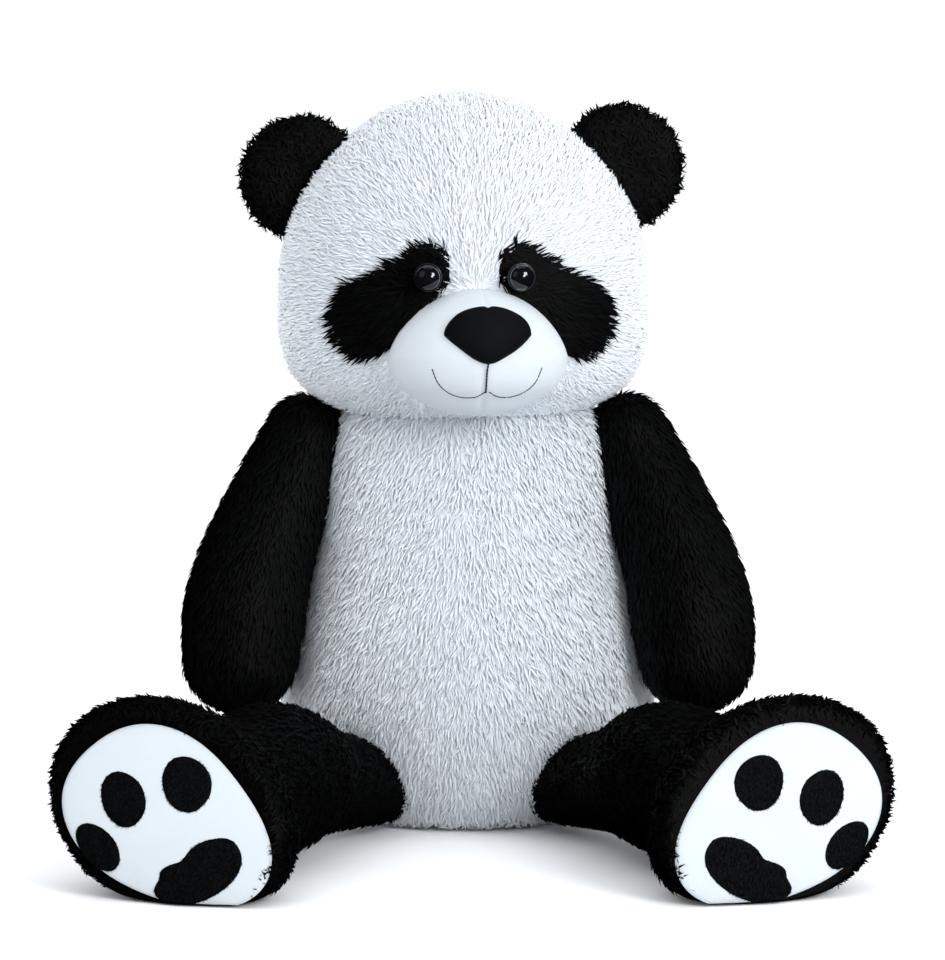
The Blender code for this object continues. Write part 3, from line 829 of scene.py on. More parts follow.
@dataclass(frozen=True)
class Pile:
    """How one kind of pile grows: the size of its locks and how they lie."""

    length: float = 0.0135
    width: float = 0.0026
    spacing: float = 0.0027
    lean: float = 52.0
    curl: float = 0.30
    clump: float = 0.55
    clump_scale: float = 95.0
    scatter: float = 0.35
    nap: bool = False
    belly: float = 2.3
    relief: float = 0.3

    def lock(self) -> bpy.types.Object:
        """Makes one lock: a bent three-sided sliver, or a plain spike for a short nap.

        Returns:
            The lock, standing at the origin.
        """
        bm = bmesh.new()
        layer = bm.verts.layers.float.new("reach")
        base = Matrix.Diagonal((0.55, 1.0, 1.0, 1.0)) @ Matrix.Translation((0, 0, self.length / 2))
        bmesh.ops.create_cone(
            bm, cap_ends=True, segments=3, radius1=self.width / 2, radius2=0.0, depth=self.length, matrix=base
        )
        bmesh.ops.remove_doubles(bm, verts=bm.verts, dist=1e-6)
        if not self.nap:
            half = Vector((0, 0, self.length / 2))
            whole = bm.verts[:] + bm.edges[:] + bm.faces[:]
            bmesh.ops.bisect_plane(bm, geom=whole, plane_co=half, plane_no=(0, 0, 1))
        for vert in bm.verts:
            share = vert.co.z / self.length
            vert[layer] = share
            full = self.belly if 0.1 < share < 0.9 else 1.0
            bend = self.curl * self.length * share * share
            vert.co = Vector((vert.co.x * full + bend, vert.co.y * full, vert.co.z))
        bmesh.ops.recalc_face_normals(bm, faces=bm.faces)
        return add_object("lock_of_pile", bm)

    def recipe(self, lock: bpy.types.Object, seed: int) -> bpy.types.NodeTree:
        """The growing recipe: points on the skin, a lock on each, combed and clumped.

        Args:
            lock: the lock that is repeated.
            seed: what the scatter starts from.

        Returns:
            A geometry node tree.
        """
        tree = bpy.data.node_groups.new("grow_pile", "GeometryNodeTree")
        tree.interface.new_socket("Geometry", in_out="INPUT", socket_type="NodeSocketGeometry")
        tree.interface.new_socket("Geometry", in_out="OUTPUT", socket_type="NodeSocketGeometry")
        graph = Graph(tree)
        skin = graph.add("NodeGroupInput").outputs[0]

        def named(name: str, kind: str) -> bpy.types.NodeSocket:
            """An attribute's value."""
            node = graph.add("GeometryNodeInputNamedAttribute", {"Name": name}, data_type=kind)
            return node.outputs[0]

        def chance(low: object, high: object, kind: str, offset: int) -> bpy.types.NodeSocket:
            """A random value from its own seed.

            Args:
                low: the least value.
                high: the greatest value.
                kind: the value's type.
                offset: what is added to the seed.

            Returns:
                The value's socket.
            """
            node = graph.add("FunctionNodeRandomValue", data_type=kind)
            live = [s for s in node.inputs if s.enabled and s.name in ("Min", "Max")]
            live[0].default_value, live[1].default_value = low, high
            [s for s in node.inputs if s.enabled and s.name == "Seed"][0].default_value = seed + offset
            return [s for s in node.outputs if s.enabled][0]

        scattered = graph.add(
            "GeometryNodeDistributePointsOnFaces",
            {
                "Mesh": skin,
                "Distance Min": self.spacing * 0.62,
                "Density Max": 1.05 / (self.spacing * self.spacing),
                "Density Factor": named("cover", "FLOAT"),
                "Seed": seed,
            },
            distribute_method="POISSON",
        )
        place = graph.add("GeometryNodeInputPosition").outputs[0]
        swirl = graph.add("ShaderNodeTexNoise", {"Vector": place, "Scale": self.clump_scale, "Detail": 1.5})
        centred = graph.vector("SUBTRACT", swirl.outputs[1], (0.5, 0.5, 0.5))
        clump = graph.vector("SCALE", centred, self.clump * 4)
        stray = graph.vector("SCALE", chance((-1, -1, -1), (1, 1, 1), "FLOAT_VECTOR", 11), self.scatter)
        comb = graph.vector("ADD", graph.vector("ADD", named("comb", "FLOAT_VECTOR"), clump), stray)
        upright = graph.add(
            "FunctionNodeAlignRotationToVector", {"Vector": scattered.outputs["Normal"]}, axis="Z"
        )
        combed = graph.add(
            "FunctionNodeAlignRotationToVector",
            {"Rotation": upright.outputs[0], "Vector": comb},
            axis="X",
            pivot_axis="Z",
        )
        tilt = chance(math.radians(self.lean - 16), math.radians(self.lean + 12), "FLOAT", 23)
        turn = graph.add("ShaderNodeCombineXYZ", {"Y": tilt})
        bent = graph.add("FunctionNodeEulerToRotation", {0: turn.outputs[0]})
        laid = graph.add(
            "FunctionNodeRotateRotation", {0: combed.outputs[0], 1: bent.outputs[0]}, rotation_space="LOCAL"
        )
        size = graph.math("MULTIPLY", named("pile", "FLOAT"), chance(0.72, 1.15, "FLOAT", 37))
        kept = graph.add("GeometryNodeStoreNamedAttribute", data_type="FLOAT_VECTOR", domain="POINT")
        graph.feed(kept.inputs["Geometry"], scattered.outputs["Points"])
        kept.inputs["Name"].default_value = "skin_way"
        graph.feed(kept.inputs["Value"], scattered.outputs["Normal"])
        source = graph.add("GeometryNodeObjectInfo", {"Object": lock}, transform_space="ORIGINAL")
        grown = graph.add(
            "GeometryNodeInstanceOnPoints",
            {
                "Points": kept.outputs[0],
                "Instance": source.outputs["Geometry"],
                "Rotation": laid.outputs[0],
                "Scale": size,
            },
        )
        tone = graph.add("GeometryNodeStoreNamedAttribute", data_type="FLOAT", domain="INSTANCE")
        graph.feed(tone.inputs["Geometry"], grown.outputs[0])
        tone.inputs["Name"].default_value = "tone"
        graph.feed(tone.inputs["Value"], chance(0.0, 1.0, "FLOAT", 41))
        real = graph.add("GeometryNodeRealizeInstances", {"Geometry": tone.outputs[0]})
        own = graph.add("GeometryNodeInputNormal").outputs[0]
        way = graph.vector("ADD", named("skin_way", "FLOAT_VECTOR"), graph.vector("SCALE", own, self.relief))
        soft = graph.add("GeometryNodeSetMeshNormal", mode="FREE", domain="POINT")
        graph.feed(soft.inputs["Mesh"], real.outputs[0])
        graph.feed(soft.inputs["Custom Normal"], graph.vector("NORMALIZE", way))
        end = graph.add("NodeGroupOutput")
        graph.feed(end.inputs[0], soft.outputs[0])
        return tree

    def grow(
        self,
        name: str,
        skin: bpy.types.Object,
        cover: Field,
        comb: Field,
        seed: int,
        pile: Optional[Field] = None,
    ) -> bpy.types.Object:
        """Grows a piece of pile on part of a skin.

        Args:
            name: the new piece's name.
            skin: the backing it grows from.
            cover: how densely it grows at each point, 0 to 1.
            comb: which way it is combed at each point.
            seed: what the scatter starts from.
            pile: how long it is at each point, or None for full length.

        Returns:
            The piece, a mesh of locks.
        """
        mesh = in_order(skin.data, name)
        ground = bpy.data.objects.new(name, mesh)
        bpy.context.scene.collection.objects.link(ground)
        places, normals = points_of(mesh)
        count = len(places)
        fields = (
            ("cover", "FLOAT", "value", np.clip(cover(places, normals), 0.0, 1.0)),
            ("pile", "FLOAT", "value", pile(places, normals) if pile else np.ones(count)),
            ("comb", "FLOAT_VECTOR", "vector", comb(places, normals)),
        )
        for title, kind, key, values in fields:
            made = mesh.attributes.new(title, kind, "POINT")
            made.data.foreach_set(key, np.asarray(values, np.float32).ravel())
        lock = self.lock()
        tree = self.recipe(lock, seed)
        ground.modifiers.new("grow", "NODES").node_group = tree
        settle(ground)
        bpy.data.node_groups.remove(tree)
        bpy.data.objects.remove(lock)
        for title in ("cover", "pile", "comb", "skin_way"):
            spare = ground.data.attributes.get(title)
            if spare:
                ground.data.attributes.remove(spare)
        self.lift_off_floor(ground)
        return ground

    @staticmethod
    def lift_off_floor(obj: bpy.types.Object, floor: float = 0.0006) -> None:
        """Keeps a piece from reaching below what the toy rests on.

        Args:
            obj: the piece.
            floor: the least height of its points, in metres.
        """
        places, _ = points_of(obj.data)
        places[:, 2] = np.maximum(places[:, 2], floor)
        move_points(obj, places)


LONG_PILE = Pile(length=0.0135, width=0.0018, spacing=0.0022, lean=67.0, curl=0.22, clump=0.6)
BLACK_PILE = Pile(length=0.0120, width=0.0024, spacing=0.0026, lean=66.0, clump=0.5)
FACE_PILE = Pile(
    length=0.0120, width=0.0018, spacing=0.0021, lean=68.0, curl=0.2, clump=0.45, clump_scale=110.0
)
SHORT_NAP = Pile(length=0.0024, width=0.0010, spacing=0.0012, lean=58.0, curl=0.2, clump=0.5, nap=True)
PATCH_PILE = Pile(
    length=0.0150, width=0.0022, spacing=0.0021, lean=56.0, clump=0.45, clump_scale=120.0, scatter=0.3
)
EAR_PILE = Pile(length=0.0105, width=0.0022, spacing=0.0025, lean=62.0, clump=0.5)


def everywhere(places: Array, _normals: Array) -> Array:
    """Full cover."""
    return np.ones(len(places))


@dataclass
class Dresser:
    """Puts a finished piece on its body and keeps the account of triangles."""

    triangles: int = 0

    def dress(
        self,
        obj: bpy.types.Object,
        finish: Finish,
        body: str,
        replaces: Sequence[str] = (),
    ) -> bpy.types.Object:
        """Finishes a piece, sets it riding on its body, hides the frame's nodes that it stands for and logs
        its triangles.

        Args:
            obj: the piece.
            finish: what it is made of.
            body: the body it rides on.
            replaces: the frame's nodes that it stands for.

        Returns:
            The piece.
        """
        finish.wear(obj)
        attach(obj, body)
        if replaces:
            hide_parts(*replaces)
        count = sum(len(p.vertices) - 2 for p in obj.data.polygons)
        self.triangles += count
        LOG.info("%-28s %7d triangles on %s", obj.name, count, body)
        return obj


# ---------------------------------------------------------------- sub-assemblies


@dataclass
class Torso:
    """The pear-shaped body: four panels and a seat over one filling."""

    rows: tuple[Row, ...] = (
        (-0.012, 0.105, 0.095, 0.004),
        (0.006, 0.140, 0.126, 0.004),
        (0.045, 0.164, 0.148, 0.008),
        (0.105, 0.180, 0.158, 0.010),
        (0.170, 0.174, 0.154, 0.008),
        (0.235, 0.153, 0.138, 0.005),
        (0.295, 0.145, 0.120, 0.002),
        (0.340, 0.138, 0.106, 0.001),
        (0.374, 0.127, 0.093, 0.001),
        (0.396, 0.098, 0.074, 0.001),
        (0.410, 0.060, 0.050, 0.001),
    )
    backing: float = 0.009
    voxel: float = 0.0055
    side_seam: float = 0.015
    tail_middle: tuple[float, float, float] = (0.0, 0.150, 0.085)
    tail_half: tuple[float, float, float] = (0.022, 0.016, 0.020)

    def comb(self, places: Array, normals: Array) -> Array:
        """Down the body, away from the middle seam and under the belly.

        Args:
            places: points of the body.
            normals: which way they face.

        Returns:
            The way the pile is combed at each.
        """
        x = places[:, 0]
        out = rows_of((0, 0, -1), len(places))
        out[:, 0] = np.tanh(x / 0.03) * 0.25
        return out

    def build(self, dresser: Dresser) -> None:
        """Makes the body, its pile, the tail and the label.

        Args:
            dresser: what dresses each piece.
        """
        cover = add_object("torso_cover", standing_form(self.rows))
        relaxed(remeshed(cover, self.voxel), 3)
        pulled_in(cover, self.backing)
        rest(cover)
        names = [f"{p}_panel_{s.word}" for p in ("belly", "back") for s in Side]
        names += ["seat_panel", "torso_stuffing"]

        def length(places: Array, _normals: Array) -> Array:
            """How long the pile is: shorter at the middle seam."""
            return 1.0 - 0.12 * bell(places[:, 0], 0.004)

        for side in Side:
            for label, front in (("belly", True), ("back", False)):

                def region(places: Array, normals: Array, side: Side = side, front: bool = front) -> Array:
                    """Where one panel's pile grows.

                    Args:
                        places: points of the skin.
                        normals: which way they face.
                        side: the panel's side.
                        front: whether it is in front.

                    Returns:
                        1 on the panel, 0 off it.
                    """
                    inside = (places[:, 0] * side.value > -0.002) & ((places[:, 1] < self.side_seam) == front)
                    clear = (places[:, 2] < 0.388) & ~((normals[:, 2] < -0.8) & (places[:, 2] < 0.006))
                    return (inside & clear).astype(float)

                seed = 3 + 2 * (side is Side.LEFT) + front
                pile = LONG_PILE.grow(f"{label}_pile_{side.word}", cover, region, self.comb, seed, length)
                dresser.dress(pile, SNOW, "torso", [f"{label}_panel_{side.word}"])
        # The body's backing wears the grey of painted shade for the gaps deep in the pile.
        dresser.dress(cover, SHADED_SNOW_BACKING, "torso", names)
        self.build_tail(dresser)

    def build_tail(self, dresser: Dresser) -> None:
        """The stub of a tail and the blank tape beside it.

        Args:
            dresser: what dresses each piece.
        """
        bm = bmesh.new()
        ball(bm, self.tail_middle, self.tail_half)
        tail = add_object("tail_cover", bm)
        middle = np.array(self.tail_middle)

        def outward(places: Array, _normals: Array) -> Array:
            """Out from the tail and down."""
            return (places - middle) * 0.5 + np.array((0, 0.006, -0.02))

        pile = EAR_PILE.grow("tail_pile", tail, everywhere, outward, 31)
        dresser.dress(pile, SNOW, "torso", ["tail"])
        dresser.dress(tail, SNOW, "torso", ["tail"])
        low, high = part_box("blank_label")
        bm = bmesh.new()
        bmesh.ops.create_grid(bm, x_segments=12, y_segments=8, size=0.5)
        bmesh.ops.solidify(bm, geom=bm.faces[:], thickness=0.0012)
        span = high - low
        for vert in bm.verts:
            along = vert.co.x + 0.5
            wave = 0.0012 * math.sin(along * 5.0) * along
            y = low.y + span.y * along
            z = low.z + span.z * (vert.co.y + 0.5)
            vert.co = Vector(((low.x + high.x) / 2 + wave + vert.co.z * 0.5, y, z))
        bmesh.ops.recalc_face_normals(bm, faces=bm.faces)
        dresser.dress(add_object("blank_label_tape", bm), TAPE, "torso", ["blank_label"])


@dataclass
class Head:
    """The big round head with its face: patches, snout, eyes, nose and mouth ride with it."""

    rows: tuple[Row, ...] = (
        (0.3610, 0.050, 0.045, 0.002),
        (0.3680, 0.103, 0.082, 0.005),
        (0.3950, 0.154, 0.125, 0.008),
        (0.4350, 0.174, 0.142, 0.006),
        (0.4850, 0.176, 0.148, 0.000),
        (0.5400, 0.170, 0.145, -0.004),
        (0.5900, 0.147, 0.130, -0.006),
        (0.6350, 0.105, 0.098, -0.008),
        (0.6620, 0.060, 0.056, -0.008),
        (0.6740, 0.010, 0.010, -0.008),
    )
    backing: float = 0.008
    voxel: float = 0.005
    side_seam: float = 0.012
    eye_spot: tuple[float, float] = (0.0415, 0.5065)
    patch_eye: tuple[float, float, float] = (0.0405, 0.5130, 0.0225)
    patch_cheek: tuple[float, float, float] = (0.0890, 0.4700, 0.0320)
    patch_lobe: tuple[float, float, float, float] = (0.0955, 0.4680, 0.0290, 0.0350)
    cover: bpy.types.Object = field(init=False)

    def patch_share(self, places: Array, _normals: Array) -> Array:
        """How far inside an eye patch each point is.

        Args:
            places: points of the head, before it is turned.
            _normals: not used.

        Returns:
            A share for each point, above 0 inside the patch.
        """
        near, far = np.array(self.patch_eye), np.array(self.patch_cheek)
        spot = np.stack((np.abs(places[:, 0]), places[:, 2]), axis=1)
        run = (far - near)[:2]
        share = np.clip((spot - near[:2]) @ run / (run @ run), 0.0, 1.0)
        gap = np.linalg.norm(spot - near[:2] - share[:, None] * run, axis=1)
        reach = near[2] + (far[2] - near[2]) * share
        lobe = (spot - np.array(self.patch_lobe[:2])) / np.array(self.patch_lobe[2:])
        inside = np.maximum(1 - gap / reach, 1 - np.linalg.norm(lobe, axis=1))
        return np.where(places[:, 1] < 0, inside, -1.0)

    def comb(self, places: Array, normals: Array) -> Array:
        """Out from the bridge of the snout over the face, then back and down.

        Args:
            places: points of the head.
            normals: which way they face.

        Returns:
            The way the pile is combed at each.
        """
        origin = np.array((0.0, -0.150, 0.490))
        out = places - origin
        out /= np.linalg.norm(out, axis=1, keepdims=True) + 1e-9
        behind = smooth_step(places[:, 1], -0.02, 0.06)[:, None]
        down = rows_of((0, 0, -1), len(places))
        return out * (1 - behind) + down * behind

    def build(self, dresser: Dresser) -> None:
        """Makes the head's skin and its white and black pile.

        Args:
            dresser: what dresses each piece.
        """
        cover = add_object("head_cover", standing_form(self.rows))
        relaxed(remeshed(cover, self.voxel), 4)
        pulled_in(cover, self.backing)
        self.cover = cover
        muzzle = Muzzle()

        def length(places: Array, normals: Array) -> Array:
            """How long the pile is: shorter at the seam and at the snout."""
            seam = bell(places[:, 0], 0.004) * (places[:, 2] > 0.52)
            return 1.0 - 0.30 * seam - 0.45 * bell(muzzle.distance(places), 0.012)

        def white(places: Array, normals: Array) -> Array:
            """Where the white pile grows.

            Args:
                places: points of the skin.
                normals: which way they face.

            Returns:
                A share for each point, 0 on the patches and the snout.
            """
            patch = smooth_step(-self.patch_share(places, normals), -0.02, 0.04)
            snout = smooth_step(muzzle.distance(places), -0.002, 0.004)
            return patch * snout * (normals[:, 2] > -0.93)

        for side in Side:
            for label, front in (("face", True), ("back", False)):

                def region(places: Array, normals: Array, side: Side = side, front: bool = front) -> Array:
                    """Where one panel's pile grows."""
                    inside = (places[:, 0] * side.value > -0.002) & ((places[:, 1] < self.side_seam) == front)
                    return inside * white(places, normals)

                seed = 101 + 2 * (side is Side.LEFT) + front
                kind = FACE_PILE if front else LONG_PILE
                pile = kind.grow(f"head_{label}_pile_{side.word}", cover, region, self.comb, seed, length)
                self.finish(pile, dresser, SNOW, [f"head_{label}_panel_{side.word}"])
            self.build_patch(side, muzzle, dresser)
        names = [f"head_{p}_panel_{s.word}" for p in ("face", "back") for s in Side]
        # The head's backing wears the grey of painted shade for the gaps deep in the pile.
        self.finish(cover, dresser, SHADED_SNOW_BACKING, names + ["head_stuffing", "neck_stuffing"], 0.85)
        muzzle.build(self, dresser)
        for side in Side:
            Eye(side).build(self, dresser)

    def finish(
        self,
        obj: bpy.types.Object,
        dresser: Dresser,
        finish: Finish,
        replaces: Sequence[str] = (),
        fill: Optional[float] = None,
    ) -> bpy.types.Object:
        """Turns a piece with the head and dresses it.

        Args:
            obj: the piece.
            dresser: what dresses it.
            finish: what it is made of.
            replaces: the frame's nodes that it stands for.
            fill: not used.

        Returns:
            The piece.
        """
        obj.data.transform(HEAD_PLACE)
        obj.data.update()
        return dresser.dress(obj, finish, "head", replaces)

    def build_patch(self, side: Side, muzzle: "Muzzle", dresser: Dresser) -> None:
        """Makes a patch of black pile on a thin pad of its own, round one eye.

        Args:
            side: the side it is on.
            muzzle: the snout that it stops at.
            dresser: what dresses it.
        """
        bm = bmesh.new()
        bm.from_mesh(self.cover.data)
        places, normals = points_of(self.cover.data)
        share = self.patch_share(places, normals)
        keep = (share > -0.04) & (places[:, 0] * side.value > 0) & (muzzle.distance(places) > -0.007)
        bm.verts.ensure_lookup_table()
        outside = [face for face in bm.faces if not all(keep[v.index] for v in face.verts)]
        bmesh.ops.delete(bm, geom=outside, context="FACES")
        bm.normal_update()
        bmesh.ops.subdivide_edges(bm, edges=bm.edges[:], cuts=1, use_grid_fill=True, smooth=0.6)
        smoothed(bm)
        bm.normal_update()
        for vert in bm.verts:
            vert.co += vert.normal * 0.0018
        bmesh.ops.solidify(bm, geom=bm.faces[:], thickness=0.003)
        bmesh.ops.recalc_face_normals(bm, faces=bm.faces)
        pad = add_object(f"eye_patch_pad_{side.word}", bm)
        middle = np.array((0.070 * side.value, -0.13, 0.492))

        def from_eye(places: Array) -> Array:
            """How far each point is from the eye, seen from the front."""
            return np.hypot(places[:, 0] - self.eye_spot[0] * side.value, places[:, 2] - self.eye_spot[1])

        def comb(places: Array, normals: Array) -> Array:
            """Out from the eye, across the cheek and down.

            Args:
                places: points of the skin.
                normals: which way they face.

            Returns:
                The way the pile is combed at each point.
            """
            out = places - middle
            out[:, 1] *= 0.2
            out /= np.linalg.norm(out, axis=1, keepdims=True) + 1e-9
            return out * 0.55 + np.array((0.9 * side.value, 0.3, -0.35))

        def cover(places: Array, normals: Array) -> Array:
            """Where the patch's pile grows.

            Args:
                places: points of the skin.
                normals: which way they face.

            Returns:
                A share for each point, 0 on the eye and the snout.
            """
            facing = normals[:, 1] < -0.15
            clear = smooth_step(from_eye(places), 0.009, 0.012)
            return facing * clear * smooth_step(muzzle.distance(places), -0.004, 0.001)

        def length(places: Array, normals: Array) -> Array:
            """How long the pile is: shorter round the eye."""
            return 0.55 + 0.45 * smooth_step(from_eye(places), 0.014, 0.035)

        pile = PATCH_PILE.grow(f"eye_patch_pile_{side.word}", pad, cover, comb, 201 + side.value, length)
        self.finish(pile, dresser, COAL, [f"eye_patch_{side.word}"])
        self.finish(pad, dresser, COAL, [f"eye_patch_{side.word}"], 0.5)


@dataclass
class Muzzle:
    """The short-pile snout with its padded nose and stitched smile."""

    middle: tuple[float, float, float] = (0.0035, -0.130, 0.4390)
    half: tuple[float, float, float] = (0.0800, 0.0790, 0.0570)
    back: float = -0.105
    nose_middle: tuple[float, float, float] = (0.0070, -0.2040, 0.4590)
    nose_half: tuple[float, float, float] = (0.0385, 0.0150, 0.0255)
    seam: tuple[Row, ...] = ((0, 0.4350), (-0.001, 0.4260), (-0.0012, 0.4170), (-0.0012, 0.4075))
    smile: tuple[Row, ...] = (
        (0.0015, 0.4085),
        (0.010, 0.4035),
        (0.022, 0.4030),
        (0.034, 0.4075),
        (0.043, 0.4160),
        (0.0485, 0.4290),
    )
    thread: float = 0.0013
    stitch: float = 0.0032
    steps: int = 80

    def shaped(self, x: Array, y: Array, z: Array) -> tuple[Array, Array, Array]:
        """The snout's form: broad and low in front, narrow at the bridge.

        Args:
            x: the unit ball's points across.
            y: the same, front to back.
            z: the same, upwards.

        Returns:
            The three, moved.
        """
        wide = 1.0 - 0.16 * np.maximum(z, 0.0) + 0.03 * np.maximum(-z, 0.0)
        droop = -0.10 * (1 - z * z) * np.abs(x) ** 2
        return x * wide, y, z + droop * 0.6

    def distance(self, places: Array) -> Array:
        """Roughly how far outside the snout's rim each point of the head is.

        Args:
            places: points of the head, before it is turned.

        Returns:
            A distance for each, in metres, below 0 inside.
        """
        x = (places[:, 0] - self.middle[0]) / self.half[0]
        z = (places[:, 2] - self.middle[2]) / self.half[2]
        wide = 1.0 - 0.16 * np.maximum(z, 0.0)
        rim = np.hypot(x / wide, z + 0.05 * x * x)
        out = (rim - 0.97) * 0.065
        return np.where(places[:, 1] < 0, out, 1.0)

    def build(self, head: Head, dresser: Dresser) -> None:
        """Makes the snout, the nose and the mouth.

        Args:
            head: the head that they ride with.
            dresser: what dresses each piece.
        """
        bm = bmesh.new()
        bmesh.ops.create_uvsphere(bm, u_segments=160, v_segments=96, radius=1.0)
        places = np.array([v.co for v in bm.verts])
        x, y, z = self.shaped(*places.T)
        crease = bell(x, 0.035) * (z < 0.05) * (y < -0.3)
        y = y + 0.035 * crease * smooth_step(-z, -0.1, 0.2)
        chin = bell(z + 0.72, 0.16) * (y < 0)
        seam = bell(x - 0.04, 0.022) * smooth_step(z, 0.55, 0.7) * (y < 0)
        y = y + 0.05 * chin + 0.03 * seam
        for vert, px, py, pz in zip(bm.verts, x, y, z):
            vert.co = Vector(
                (
                    self.middle[0] + px * self.half[0],
                    self.middle[1] + py * self.half[1],
                    self.middle[2] + pz * self.half[2],
                )
            )
        cut = bmesh.ops.bisect_plane(
            bm,
            geom=bm.verts[:] + bm.edges[:] + bm.faces[:],
            plane_co=(0, self.back, 0),
            plane_no=(0, 1, 0),
            clear_outer=True,
        )["geom_cut"]
        bmesh.ops.edgeloop_fill(bm, edges=[e for e in cut if isinstance(e, bmesh.types.BMEdge)])
        bmesh.ops.recalc_face_normals(bm, faces=bm.faces)
        tree = BVHTree.FromBMesh(bm)
        cover = add_object("muzzle_velour", bm)
        self.build_nose(head, dresser)
        self.build_mouth(tree, head, dresser)
        head.finish(cover, dresser, VELOUR, ["muzzle_cover", "muzzle_stuffing"], 0.9)

    def build_nose(self, head: Head, dresser: Dresser) -> None:
        """A padded rounded triangle of cloth with a small notch at the top.

        Args:
            head: the head that they ride with.
            dresser: what dresses each piece.
        """
        bm = bmesh.new()
        bmesh.ops.create_uvsphere(bm, u_segments=72, v_segments=48, radius=1.0)
        bmesh.ops.rotate(bm, matrix=Matrix.Rotation(math.pi / 2, 3, "X"), verts=bm.verts)
        for vert in bm.verts:
            x, y, z = vert.co
            rim = math.hypot(x, z)
            taper = 1.0 - 0.50 * max(-z, 0.0) + 0.02 * math.sin(9 * x) * rim**4
            notch = 0.07 * math.exp(-((x / 0.06) ** 2)) * max(z, 0.0) * rim**6
            full = math.copysign(abs(y) ** 0.75, y)
            vert.co = Vector((x * taper, full, z * (1 - notch) - 0.04 * abs(x) ** 2))
        bmesh.ops.scale(bm, vec=self.nose_half, verts=bm.verts)
        bmesh.ops.rotate(bm, matrix=Matrix.Rotation(math.radians(-12), 3, "X"), verts=bm.verts)
        for vert in bm.verts:
            vert.co.y += 0.011 * (vert.co.x / self.nose_half[0]) ** 2
        bmesh.ops.translate(bm, vec=self.nose_middle, verts=bm.verts)
        bmesh.ops.recalc_face_normals(bm, faces=bm.faces)
        head.finish(add_object("nose_pad", bm), dresser, NOSE_CLOTH, ["nose"], 0.9)

    def mouth_lines(self) -> dict[str, list[Row]]:
        """The lines of the mouth.

        Returns:
            The seam under the nose and the two halves of the smile, as x and z.
        """
        middle = self.nose_middle[0]
        return {
            "middle": [(middle + x, z) for x, z in self.seam],
            "left": [(middle + x, z) for x, z in self.smile],
            "right": [(middle - x, z) for x, z in self.smile],
        }

    def build_mouth(self, tree: BVHTree, head: Head, dresser: Dresser) -> None:
        """Rows of short stitches along each line of the mouth.

        Args:
            tree: the snout's surface.
            head: the head that it rides with.
            dresser: what dresses each row.
        """
        for label, line in self.mouth_lines().items():
            thick = self.thread * (1.35 if label == "middle" else 0.85)
            dense = [blended_row(line, k / self.steps) for k in range(self.steps + 1)]
            path = []
            for x, z in dense:
                hit, normal, _, _ = tree.ray_cast(Vector((x, -1.0, z)), Vector((0, 1, 0)))
                path.append(hit + normal * thick * 0.15)
            bm = bmesh.new()
            total = sum((b - a).length for a, b in zip(path, path[1:]))
            count = max(3, round(total / self.stitch))
            for number in range(count):
                a = path[round(number * self.steps / count)]
                b = path[round((number + 0.94) * self.steps / count)]
                run = b - a
                frame = Matrix.Translation((a + b) / 2) @ run.to_track_quat("Z", "Y").to_matrix().to_4x4()
                frame = frame @ Matrix.Diagonal((thick / 2, thick / 2, run.length * 0.56, 1.0))
                bmesh.ops.create_uvsphere(bm, u_segments=10, v_segments=8, radius=1.0, matrix=frame)
            row = add_object(f"mouth_stitches_{label}", bm)
            head.finish(row, dresser, THREAD, [f"mouth_stitch_{label}"])


